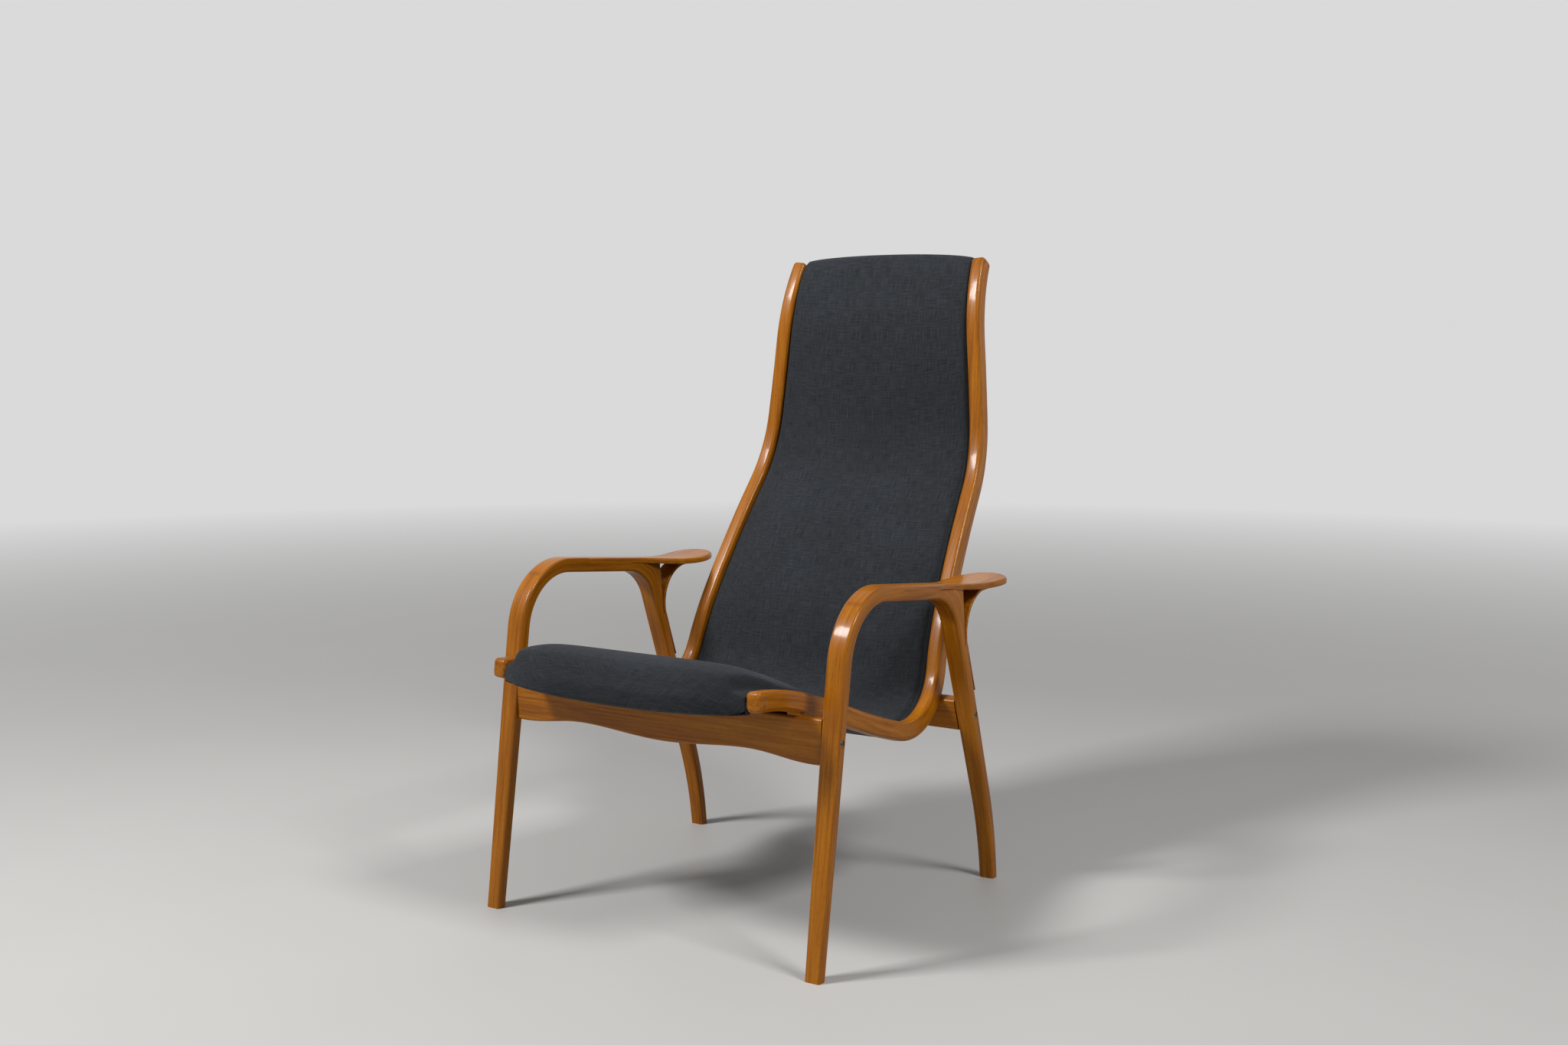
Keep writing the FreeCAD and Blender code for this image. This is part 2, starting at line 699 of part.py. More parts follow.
def make_rear_rail():
    """Rail between the rear legs, leaning with them, on which the shell's crease rests."""
    name = "rear_cross_rail"
    body = new_body(name, rear_rail_place())
    end = size("rail_end_x")
    half = size("rear_rail_deep") / 2
    outline = rounded_outline([
        corner(Vector(-end, -half, 0)),
        corner(Vector(end, -half, 0)),
        corner(Vector(end, half, 0)),
        corner(Vector(-end, half, 0)),
    ])
    sketch = new_sketch(body, "XZ_Plane", name + "_outline", outline)
    new_pad(body, sketch, name + "_pad", "rear_rail_thick")
    round_edges(body, body.Tip, name + "_round", "rail_edge_round", rail_long_edge)
    bore_rail(body, name, 0, 0, size("rear_rail_thick"))
    return body


def rear_rail_place():
    """Middle of the rear cross rail, turned to lean with the rear legs."""
    place = frame_place()
    place.Base.y += size("rear_rail_y")
    place.Base.z += size("rear_rail_z")
    place.Rotation = Rotation(Vector(1, 0, 0), size("rear_rake"))
    return place


# Seat and back shell


def side_rail_line():
    """Arcs of the side rail's middle line: start, middle, end and their directions."""
    here = Vector(size("side_tip_y"), size("side_tip_z"), 0)
    angle = size("side_tip_rise")
    arcs = []
    for name, length, turn in SIDE_RAIL_RUNS:
        length = size(name + "_length")
        turn = size(name + "_turn")
        radius = length / radians(turn)
        middle = here + heading(angle + turn / 4) * (2 * radius * sin(radians(turn / 4)))
        end = here + heading(angle + turn / 2) * (2 * radius * sin(radians(turn / 2)))
        arcs.append([(here, angle), (middle, angle + turn / 2), (end, angle + turn)])
        here = end
        angle += turn
    return arcs


def offset_point(station, distance):
    """A point of the rail's line moved towards the sitter's side by distance."""
    point, angle = station
    return point + left_of(angle) * distance


def side_rail_place(side):
    """Leaning plane of a side rail: tilted inwards going up, toed out going back."""
    place = frame_place(side * size("side_rail_x"))
    lean = Rotation(Vector(0, 1, 0), -side * size("side_rail_tilt"))
    toe = Rotation(Vector(0, 0, 1), -side * size("side_rail_toe"))
    place.Rotation = toe.multiply(lean)
    return place


def make_side_rail(side, word):
    """Bent rail of the shell from the seat's front tip, through the crease, to the top of the back."""
    name = word + "_side_rail"
    body = new_body(name + "_bent", side_rail_place(side))
    half = size("side_rail_deep") / 2
    arcs = side_rail_line()
    outline = []
    for stations in arcs:
        outline.append(Part.Arc(*[offset_point(station, half) for station in stations]))
    top = arcs[-1][-1]
    top_middle = top[0] + heading(top[1]) * size("top_end_bulge")
    outline.append(Part.Arc(offset_point(top, half), top_middle, offset_point(top, -half)))
    for stations in reversed(arcs):
        outline.append(Part.Arc(*[offset_point(station, -half) for station in reversed(stations)]))
    tip = arcs[0][0]
    outline.append(Part.LineSegment(offset_point(tip, -half), offset_point(tip, half)))
    sketch = new_sketch(body, "YZ_Plane", name + "_outline", outline)
    new_pad(body, sketch, name + "_pad", "side_rail_wide")
    round_edges(body, body.Tip, name + "_round", "side_rail_round", lambda edge: True)
    return body


def cut(name, base, tool):
    """One solid less another, as a boolean of the document."""
    result = doc.addObject("Part::Cut", name)
    result.Base = base
    result.Tool = tool
    result.Label = name
    doc.recompute()
    return result


def common(name, base, tool):
    result = doc.addObject("Part::Common", name)
    result.Base = base
    result.Tool = tool
    result.Label = name
    doc.recompute()
    return result


def new_box(name, place, x_range, y_range, z_range):
    """A box from its ranges in the axes of place."""
    box = doc.addObject("Part::Box", name)
    box.Label = name
    box.Length = x_range[1] - x_range[0]
    box.Width = y_range[1] - y_range[0]
    box.Height = z_range[1] - z_range[0]
    corner_place = Placement(Vector(x_range[0], y_range[0], z_range[0]), Rotation())
    box.Placement = place.multiply(corner_place)
    return box


def outside_boxes(name, gap):
    """Two large boxes that start gap inside the side rails' inner faces."""
    inner = size("side_rail_wide") / 2 + gap
    boxes = []
    for side, word in sides:
        across = (-inner, 400) if side > 0 else (-400, inner)
        boxes.append(new_box("%s_%s" % (name, word), side_rail_place(side), across, (-300, 1100), (0, 1200)))
    return boxes


def between_rails(name, base, boxes):
    """What of a solid lies between the side rails."""
    half_done = cut(name + "_trimmed", base, boxes[0])
    return cut(name, half_done, boxes[1])


def station_at(distance):
    """Point and direction of the rail's line at a distance from its tip; straight beyond its ends."""
    arcs = side_rail_line()
    start, angle = arcs[0][0]
    if distance < 0:
        return start + heading(angle) * distance, angle
    for (name, length, turn), stations in zip(SIDE_RAIL_RUNS, arcs):
        if distance <= size(name + "_length"):
            start, angle = stations[0]
            part = size(name + "_turn") * distance / size(name + "_length")
            radius = size(name + "_length") / radians(size(name + "_turn"))
            return start + heading(angle + part / 2) * (2 * radius * sin(radians(part / 2))), angle + part
        distance -= size(name + "_length")
    end, angle = arcs[-1][-1]
    return end + heading(angle) * distance, angle


def upright(point):
    """A point of the leaning side view brought to its true height."""
    return Vector(point.x, point.y * cos(radians(size("side_rail_tilt"))), 0)


def shell_place(distance, offset=0.0):
    """Frame on the shell's middle: Y along the rail's line, Z towards the sitter."""
    station = station_at(distance)
    point = upright(offset_point(station, offset))
    place = frame_place()
    place.Base.y += point.x
    place.Base.z += point.y
    place.Rotation = Rotation(Vector(1, 0, 0), station[1])
    return place


def make_slat(name, distance, wide, boxes):
    """Flat wooden slat between the side rails."""
    back = -size("slat_back")
    front = back + size("slat_thick")
    box = new_box(name + "_board", shell_place(distance), (-260, 260), (-wide / 2, wide / 2), (back, front))
    return between_rails(name, box, boxes)


def make_straps(name, first, last, count, boxes):
    """A row of webbing straps across the shell."""
    wide = size("strap_wide")
    front = -size("strap_back")
    straps = []
    for number in range(count):
        distance = first + (last - first) * number / (count - 1)
        place = shell_place(distance)
        straps.append(new_box("%s_%d" % (name, number + 1), place, (-260, 260), (-wide / 2, wide / 2),
                              (front - size("strap_thick"), front)))
    group = doc.addObject("Part::Compound", name + "_row")
    group.Links = straps
    doc.recompute()
    return between_rails(name, group, boxes)


# Sections of the upholstered form: distance along the rail, share of the width, back and front
# of its edges, and how far its middle stands behind and in front of them
FORM_SECTIONS = [
    (-25, 0.80, -11, 1, 4, 9),
    (-21, 0.90, -16, 8, 8, 14),
    (-12, 0.97, -19, 13, 11, 23),
    (4, 1.0, -18, 14, 12, 28),
    (35, 1.0, -14, 12, 9, 29),
    (70, 1.0, -13, 11, 3, 28),
    (105, 1.0, -13, 11, 1, 25),
    (235, 1.0, -13, 11, 1, 17),
    (390, 1.0, -13, 11, 1, 13),
    (565, 1.0, -13, 11, 1, 12),
    (662, 1.0, -13, 11, 1, 14),
    (876, 1.0, -13, 11, 1, 14),
    (1070, 1.0, -13, 11, 1, 10),
    (1137, 1.0, -13, 11, 1, 8),
    (1204, 1.0, -13, 11, 1, 7),
    (1262, 1.0, -13, 11, 3, 6),
    (1282, 0.99, -12, 10, 3, 6),
    (1292, 0.97, -8, 6, 3, 5),
]


def form_section(distance, width, back, front, belly, crown, inset):
    """Closed outline across the shell, inset everywhere by the cover's thickness or nothing."""
    tip_room = inset if distance < 0 else 0
    top_room = inset if distance > 1250 else 0
    point, angle = station_at(distance + tip_room - top_room)
    ahead = left_of(angle)
    middle = upright(point)
    gap = size("pad_gap") + inset
    inner = size("side_rail_x") - (size("side_rail_wide") / 2) / cos(radians(size("side_rail_tilt")))
    datum = size("datum_y")

    def place(share, offset):
        """Section point: share of the half width across, offset towards the sitter."""
        spot = middle + ahead * offset
        half = inner + spot.x * tan(radians(size("side_rail_toe")))
        half -= spot.y * tan(radians(size("side_rail_tilt")))
        return Vector(share * (width * half - gap), spot.x + datum, spot.y)

    low = back + inset
    high = front - inset
    under = Part.BSplineCurve()
    under.interpolate([place(-1, low), place(-0.6, low - belly * 0.75), place(0, low - belly),
                       place(0.6, low - belly * 0.75), place(1, low)])
    over = Part.BSplineCurve()
    over.interpolate([place(1, high), place(0.82, high + crown * 0.72), place(0, high + crown),
                      place(-0.82, high + crown * 0.72), place(-1, high)])
    edges = [under.toShape(), Part.makeLine(place(1, low), place(1, high)),
             over.toShape(), Part.makeLine(place(-1, high), place(-1, low))]
    return Part.Wire(edges)


def all_sections():
    """The named sections with more between them, so that none are far apart."""
    sections = [FORM_SECTIONS[0]]
    for before, after in zip(FORM_SECTIONS, FORM_SECTIONS[1:]):
        steps = max(1, round((after[0] - before[0]) / 30))
        for step in range(1, steps + 1):
            share = step / steps
            sections.append(tuple(low + (high - low) * share for low, high in zip(before, after)))
    return sections


def make_form(name, inset):
    """Crowned solid of the whole upholstery, from the rolled front over the seat and back."""
    wires = [form_section(*section, inset) for section in all_sections()]
    form = doc.addObject("Part::Feature", name)
    form.Label = name
    form.Shape = Part.makeLoft(wires, True, False)
    return form


def front_zone(name, offset):
    """Everything on the sitter's side of the shell's middle surface moved by offset."""
    before_tip = -80
    past_top = 1350
    half_width = 350
    points = [upright(offset_point(station_at(before_tip), offset))]
    for stations in side_rail_line():
        points.append(upright(offset_point(stations[1], offset)))
        points.append(upright(offset_point(stations[2], offset)))
    points.append(upright(offset_point(station_at(past_top), offset)))
    curve = Part.BSplineCurve()
    curve.interpolate(points)
    corner_point = Vector(points[0].x, points[-1].y, 0)
    body = new_body(name, frame_place())
    outline = [
        curve,
        Part.LineSegment(points[-1], corner_point),
        Part.LineSegment(corner_point, points[0]),
    ]
    sketch = new_sketch(body, "YZ_Plane", name + "_outline", outline)
    pad = body.newObject("PartDesign::Pad", name + "_pad")
    pad.Profile = sketch
    pad.SideType = "Symmetric"
    pad.Length = 2 * half_width
    doc.recompute()
    return body


def new_cylinder(name, place, diameter, length, start=0.0):
    """A round bar along the Z of place, from start."""
    bar = doc.addObject("Part::Cylinder", name)
    bar.Label = name
    bar.Radius = diameter / 2
    bar.Height = length
    bar.Placement = place.multiply(Placement(Vector(0, 0, start), Rotation()))
    return bar


def fuse(name, base, tool):
    result = doc.addObject("Part::Fuse", name)
    result.Base = base
    result.Tool = tool
    result.Label = name
    doc.recompute()
    return result


def group_of(name, members):
    """Several separate identical solids under one name."""
    group = doc.addObject("Part::Compound", name)
    group.Links = members
    group.Label = name
    doc.recompute()
    return group


def make_bolt(name, place, length):
    """Bolt along Z: socket head below zero, shank above it."""
    tall = size("bolt_head_tall")
    head = new_cylinder(name + "_head", place, size("bolt_head"), tall, -tall)
    shank = new_cylinder(name + "_shank", place, size("bolt_diameter"), length)
    whole = fuse(name + "_blank", head, shank)
    socket = new_cylinder(name + "_socket", place, size("socket_across"), size("socket_deep"), -tall - 0.5)
    return cut(name, whole, socket)


def across(side, rail_place):
    """Frame at a cross rail's end: Z points inwards from the counterbore's floor."""
    x = side * (size("leg_x") + size("leg_width_top") / 2 - size("bolt_sunk"))
    return rail_place.multiply(Placement(Vector(x, 0, 0), Rotation(Vector(0, 1, 0), -side * 90)))


def shell_bolt_place(side):
    """Frame under the head of a bolt that rises through the front cross rail into a side rail."""
    place = frame_place()
    place.Base.x += side * shell_bolt_x()
    place.Base.y += size("front_rail_y") + size("front_rail_thick") / 2
    place.Base.z += size("front_rail_end_z") + size("shell_sink")
    return place


made = {}
for side, word in sides:
    made[word + "_front_leg"] = make_front_leg(side, word)
    made[word + "_rear_leg"] = make_rear_leg(side, word)
    made[word + "_arm_brace"] = make_brace(side, word)
    made[word + "_armrest"] = make_armrest(side, word)
made["front_cross_rail"] = make_front_rail()
made["rear_cross_rail"] = make_rear_rail()

half_thick = size("rear_rail_thick") / 2 + 0.1
half_deep = size("rear_rail_deep") / 2 + 0.1
rear_housing = new_box("rear_housing", rear_rail_place(), (-280, 280), (-half_thick, half_thick),
                       (-half_deep, half_deep))
spacers = []
shell_bolts = []
for side, word in sides:
    bent = make_side_rail(side, word)
    housed = cut(word + "_side_rail_housed", bent, rear_housing)
    place = shell_bolt_place(side)
    bore = new_cylinder(word + "_shell_bore", place, size("bolt_diameter") + 0.4, size("shell_bolt_length") + 1)
    made[word + "_side_rail"] = cut(word + "_side_rail", housed, bore)
    reach = size("spacer_long") / 2
    deep = size("spacer_deep") / 2
    top = size("front_rail_top_z") - place.Base.z
    block = new_box(word + "_spacer_block", place, (-reach, reach), (-deep, deep), (top, top + 20))
    under_rail = cut(word + "_spacer_blank", block, bent)
    spacers.append(cut(word + "_shell_spacer", under_rail, bore))
    shell_bolts.append(make_bolt(word + "_shell_bolt", place, size("shell_bolt_length")))
made["shell_spacers"] = group_of("shell_spacers", spacers)
made["shell_bolts"] = group_of("shell_bolts", shell_bolts)

wood_stops = outside_boxes("beside_slats", 0.05)
slats = [("front_slat", 24, 38), ("crease_slat", 372, 40), ("lumbar_slat", 640, 40), ("middle_slat", 940, 40),
         ("top_slat", 1244, 44)]
for name, distance, wide in slats:
    made[name] = make_slat(name, distance, wide, wood_stops)
made["seat_webbing"] = make_straps("seat_webbing", 78, 318, 4, wood_stops)
made["back_webbing"] = make_straps("back_webbing", 694, 1186, 6, wood_stops)

outer_form = make_form("outer_form", 0)
inner_form = make_form("inner_form", size("cover_thick"))
foam_zone = front_zone("foam_zone", 0.5)
cover_zone = front_zone("cover_zone", 0)
cloth_stop = front_zone("cloth_stop", -size("slat_back") - 0.3)
across_all = (-400, 400)
deep_all = (-900, 900)
crease = shell_place(478)
behind_crease = new_box("behind_crease", crease, across_all, (0.2, 1500), deep_all)
before_crease = new_box("before_crease", crease, across_all, (-1500, 0), deep_all)
foam = common("foam", inner_form, foam_zone)
made["seat_foam"] = common("seat_foam", foam, before_crease)
made["back_foam"] = common("back_foam", foam, behind_crease)
bag = cut("bag", outer_form, inner_form)
behind_front = new_box("behind_front", shell_place(2), across_all, (0, 1500), deep_all)
below_cover = cut("below_cover", behind_front, cover_zone)
cover_blank = cut("cover_blank", bag, below_cover)
made["upholstery_cover"] = between_rails("upholstery_cover", cover_blank, wood_stops)
behind_hem = new_box("behind_hem", shell_place(2.5), across_all, (0, 1500), deep_all)
below_cloth = cut("below_cloth", behind_hem, cloth_stop)
sheets = common("sheets", bag, below_cloth)
rail_gap = half_thick + 2
before_rail = new_box("before_rail", rear_rail_place(), across_all, (-1500, -rail_gap), deep_all)
behind_rail = new_box("behind_rail", rear_rail_place(), across_all, (rail_gap, 1500), deep_all)
under_blank = common("under_blank", sheets, before_rail)
made["under_cloth"] = between_rails("under_cloth", under_blank, wood_stops)
made["back_cloth"] = common("back_cloth", sheets, behind_rail)


front_ends = frame_place()
front_ends.Base.y += front_bolt_y()
front_ends.Base.z += size("front_bolt_z")
rear_ends = rear_rail_place()
bolts = []
nuts = []
dowels = []
for side, word in sides:
    for where, ends in (("front", front_ends), ("rear", rear_ends)):
        tag = "%s_%s" % (word, where)
        place = across(side, ends)
        bolts.append(make_bolt("leg_bolt_" + tag, place, size("bolt_length")))
        nut_depth = size("leg_x") + size("leg_width_top") / 2 - size("bolt_sunk") - size("nut_x")
        upright_nut = place.multiply(Placement(Vector(0, 0, nut_depth), Rotation(Vector(1, 0, 0), 90)))
        nut = new_cylinder("nut_blank_" + tag, upright_nut, size("nut_diameter"), size("nut_length"),
                           -size("nut_length") / 2)
        thread = new_cylinder("nut_thread_" + tag, place, size("bolt_diameter") + 0.1, 90, -10)
        nuts.append(cut("barrel_nut_" + tag, nut, thread))
        inward = size("leg_x") + size("leg_width_top") / 2 - size("bolt_sunk") - size("rail_end_x")
        for step in (1, -1):
            shift = Placement(Vector(step * size("dowel_offset"), 0, 0), Rotation())
            dowels.append(new_cylinder("dowel_%s_%d" % (tag, step), place.multiply(shift),
                                       size("dowel_diameter"), size("dowel_length"),
                                       inward - size("dowel_length") / 2))
made["leg_bolts"] = group_of("leg_bolts", bolts)
made["barrel_nuts"] = group_of("barrel_nuts", nuts)
made["rail_dowels"] = group_of("rail_dowels", dowels)

doc.recompute()
failed = [thing.Label for thing in doc.Objects if {"Invalid", "Error"} & set(thing.State)]
if failed:
    raise ValueError("not rebuilt: " + ", ".join(failed))
for name, thing in made.items():
    if thing.Shape.isNull() or not thing.Shape.isValid() or not thing.Shape.Solids:
        raise ValueError("bad shape: " + name)
os.makedirs("parts", exist_ok=True)
for name, thing in made.items():
    thing.Shape.exportStep("parts/%s.step" % name)
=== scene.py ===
"""Looks of a bentwood lounge chair: lacquered beech, charcoal cloth and a pale studio."""

import logging
import math
from dataclasses import dataclass, field
from enum import Enum
from typing import Iterable, Optional, Sequence

import bmesh
import bpy
import numpy as np
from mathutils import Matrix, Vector


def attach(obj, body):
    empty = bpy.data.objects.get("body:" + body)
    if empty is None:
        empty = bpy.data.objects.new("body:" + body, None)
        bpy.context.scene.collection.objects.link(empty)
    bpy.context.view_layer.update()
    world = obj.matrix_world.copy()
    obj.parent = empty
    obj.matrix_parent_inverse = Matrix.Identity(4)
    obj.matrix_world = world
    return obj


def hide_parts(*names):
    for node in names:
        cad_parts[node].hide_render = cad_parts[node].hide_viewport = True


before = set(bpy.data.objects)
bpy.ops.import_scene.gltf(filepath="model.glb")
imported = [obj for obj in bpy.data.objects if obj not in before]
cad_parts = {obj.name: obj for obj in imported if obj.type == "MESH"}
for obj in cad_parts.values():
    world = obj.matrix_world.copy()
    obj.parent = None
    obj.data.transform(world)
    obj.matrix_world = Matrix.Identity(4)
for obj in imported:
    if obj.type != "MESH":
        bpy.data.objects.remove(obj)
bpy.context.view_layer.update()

logging.basicConfig(level=logging.INFO, format="%(message)s")
LOG = logging.getLogger("lounge_chair")

Colour = tuple[float, float, float]
Point2 = tuple[float, float]
Corner = tuple[float, float, float]
DATUM_Y = -0.3225
MM = 0.001
MERGE = 0.00002
LEAD = 0.06
CREASE = 32.0


class Side(Enum):
    """The sitter's two sides, with the sign of their X."""

    LEFT = 1
    RIGHT = -1

    @property
    def word(self) -> str:
        """The side's name as the nodes spell it."""
        return self.name.lower()


class GrainRun(Enum):
    """Which way the wood fibres of a piece run: along its bends, or straight across the chair."""

    BENT = "bent"
    ACROSS = "across"


# Side lines of the bent pieces


@dataclass(frozen=True)
class SideLine:
    """A line in the chair's side view, sampled as points with the distance run along it."""

    points: tuple[Point2, ...]

    @staticmethod
    def cornered(corners: Sequence[Corner]) -> "SideLine":
        """Straight runs joined by arcs.

        Args:
            corners: Points y, z from the front foot datum, each with its bend radius, in millimetres.

        Returns:
            The sampled line in metres in the chair's frame.
        """
        found: list[Point2] = [corners[0][:2]]
        for before, here, after in zip(corners, corners[1:], corners[2:]):
            spot = Vector(here[:2])
            back = (Vector(before[:2]) - spot).normalized()
            on = (Vector(after[:2]) - spot).normalized()
            half = back.angle(on) / 2
            radius = here[2]
            if radius <= 0 or half > math.radians(89.9):
                found.append(tuple(spot))
                continue
            reach = radius / math.tan(half)
            centre = spot + (back + on).normalized() * (radius / math.sin(half))
            first = spot + back * reach - centre
            turn = math.pi - 2 * half
            sign = 1 if first.x * on.y - first.y * on.x > 0 else -1
            steps = max(6, round(turn * 24))
            for step in range(steps + 1):
                angle = sign * turn * step / steps
                cos, sin = math.cos(angle), math.sin(angle)
                found.append((centre.x + first.x * cos - first.y * sin,
                              centre.y + first.x * sin + first.y * cos))
        found.append(corners[-1][:2])
        return SideLine(tuple((y * MM + DATUM_Y, z * MM) for y, z in found))

    def measure(self, spots: np.ndarray) -> tuple[np.ndarray, np.ndarray]:
        """Distance along the line and signed distance off it.

        Args:
            spots: Points y, z in metres, one per row.

        Returns:
            The run along the line, and the offset to the left of its direction, both in metres.
        """
        line = np.array(self.points, float)
        starts, steps = line[:-1], np.diff(line, axis=0)
        lengths = np.maximum(np.hypot(steps[:, 0], steps[:, 1]), 1e-9)
        runs = np.concatenate([[0.0], np.cumsum(lengths)[:-1]])
        best = np.full(len(spots), 1e9)
        along = np.zeros(len(spots))
        off = np.zeros(len(spots))
        last = len(lengths) - 1
        for index, (start, step, length, run) in enumerate(zip(starts, steps, lengths, runs)):
            unit = step / length
            away = spots - start
            share = away @ unit
            low = -1e3 if index == 0 else 0.0
            high = 1e3 if index == last else length
            held = np.clip(share, low, high)
            side = unit[0] * away[:, 1] - unit[1] * away[:, 0]
            gap = np.hypot(share - held, side)
            nearer = gap < best - 1e-12
            best = np.where(nearer, gap, best)
            along = np.where(nearer, run + held, along)
            off = np.where(nearer, np.sign(side) * gap, off)
        return along, off


@dataclass(frozen=True)
class ShellLine:
    """The bent side rails' middle line, which the seat and back upholstery follow.

    Distances run from the rail's front tip, in metres; angles are in degrees.
    """

    tip: Point2 = (-0.057, 0.389)
    direction: float = -2.5
    runs: tuple[tuple[float, float], ...] = (
        (0.105, -14), (0.130, -5), (0.155, 5), (0.175, 88), (0.097, -12),
        (0.214, -7), (0.128, 32), (0.133, 3), (0.140, -28),
    )
    tilt: float = math.radians(4.97)
    toe: float = math.radians(0.49)
    plane_x: float = 0.2575
    rail_wide: float = 0.024

    def station(self, distance: float) -> tuple[Vector, float]:
        """Point y, z on the leaning line and its direction in radians."""
        spot, angle = Vector(self.tip), math.radians(self.direction)
        if distance < 0:
            return spot + Vector((math.cos(angle), math.sin(angle))) * distance, angle
        for length, turn in self.runs:
            bend = math.radians(turn)
            part = min(distance, length)
            swing = bend * part / length
            chord = 2 * length / bend * math.sin(swing / 2)
            spot = spot + Vector((math.cos(angle + swing / 2), math.sin(angle + swing / 2))) * chord
            angle += swing
            distance -= part
            if distance <= 0:
                return spot, angle
        return spot + Vector((math.cos(angle), math.sin(angle))) * distance, angle

    def place(self, distance: float, across: float, offset: float) -> Vector:
        """A point of the shell.

        Args:
            distance: Along the line from the tip.
            across: X in metres.
            offset: Towards the sitter, square to the line.

        Returns:
            The point in the chair's frame.
        """
        point, angle = self.station(distance)
        y = point.x - math.sin(angle) * offset
        z = point.y * math.cos(self.tilt) + math.cos(angle) * offset
        return Vector((across, y + DATUM_Y, z))

    def half_width(self, spot: Vector) -> float:
        """Distance of the side rails' inner faces from the middle, at a point."""
        inner = self.plane_x - self.rail_wide / 2 / math.cos(self.tilt)
        return inner + (spot.y - DATUM_Y) * math.tan(self.toe) - spot.z * math.tan(self.tilt)

    def side_line(self) -> SideLine:
        """The line sampled every 5 mm, from a lead before its tip to as far past its end."""
        total = sum(length for length, _ in self.runs)
        spots = [self.place(float(step), 0, 0) for step in np.arange(-LEAD, total + LEAD, 0.005)]
        return SideLine(tuple((spot.y, spot.z) for spot in spots))


# Finishes


class NodeBoard:
    """Places and links the nodes of one material."""

    def __init__(self, name: str) -> None:
        """Starts a material with a Principled shader."""
        self.material = bpy.data.materials.new(name)
        self.material.use_nodes = True
        self.tree = self.material.node_tree
        self.shader = self.tree.nodes["Principled BSDF"]

    def node(self, kind: str, values: Optional[dict[str, object]] = None,
             **settings: object) -> bpy.types.Node:
        """Adds a node.

        Args:
            kind: The node's type without its ShaderNode prefix.
            values: Socket names with a number, colour or another node's output.
            settings: Properties of the node itself.

        Returns:
            The new node.
        """
        made = self.tree.nodes.new("ShaderNode" + kind)
        for name, value in settings.items():
            setattr(made, name, value)
        for name, value in (values or {}).items():
            self.feed(made.inputs[name], value)
        return made

    def feed(self, socket: bpy.types.NodeSocket, value: object) -> None:
        """Links or sets one socket."""
        if isinstance(value, bpy.types.NodeSocket):
            self.tree.links.new(value, socket)
        else:
            socket.default_value = value

    def scaled(self, vector: bpy.types.NodeSocket, scale: Colour) -> bpy.types.NodeSocket:
        """A vector stretched per axis."""
        return self.node("Mapping", {"Vector": vector, "Scale": scale}).outputs["Vector"]

    def noise(self, vector: bpy.types.NodeSocket, scale: float = 1.0, detail: float = 4.0,
              roughness: float = 0.55) -> bpy.types.NodeSocket:
        """A noise value."""
        made = self.node("TexNoise", {"Vector": vector, "Scale": scale, "Detail": detail,
                                      "Roughness": roughness})
        return made.outputs["Fac"]

    def spread(self, value: bpy.types.NodeSocket, low: float, high: float, to_low: float = 0.0,
               to_high: float = 1.0) -> bpy.types.NodeSocket:
        """A value mapped from one range to another and clamped."""
        made = self.node("MapRange", {"Value": value, "From Min": low, "From Max": high,
                                      "To Min": to_low, "To Max": to_high})
        return made.outputs["Result"]

    def sum_of(self, kind: str, first: object, second: object) -> bpy.types.NodeSocket:
        """Two values put together by a maths operation."""
        made = self.node("Math", operation=kind)
        self.feed(made.inputs[0], first)
        self.feed(made.inputs[1], second)
        return made.outputs["Value"]

    def blend(self, share: object, first: object, second: object,
              kind: str = "MIX") -> bpy.types.NodeSocket:
        """Two colours mixed."""
        made = self.node("Mix", data_type="RGBA", blend_type=kind)
        self.feed(made.inputs["Factor"], share)
        for socket, colour in ((made.inputs[6], first), (made.inputs[7], second)):
            self.feed(socket, colour if isinstance(colour, bpy.types.NodeSocket) else (*colour, 1.0))
        return made.outputs[2]

    def bump(self, height: bpy.types.NodeSocket, strength: float, distance: float) -> None:
        """Gives the shader a relief."""
        made = self.node("Bump", {"Height": height, "Strength": strength, "Distance": distance})
        self.feed(self.shader.inputs["Normal"], made.outputs["Normal"])


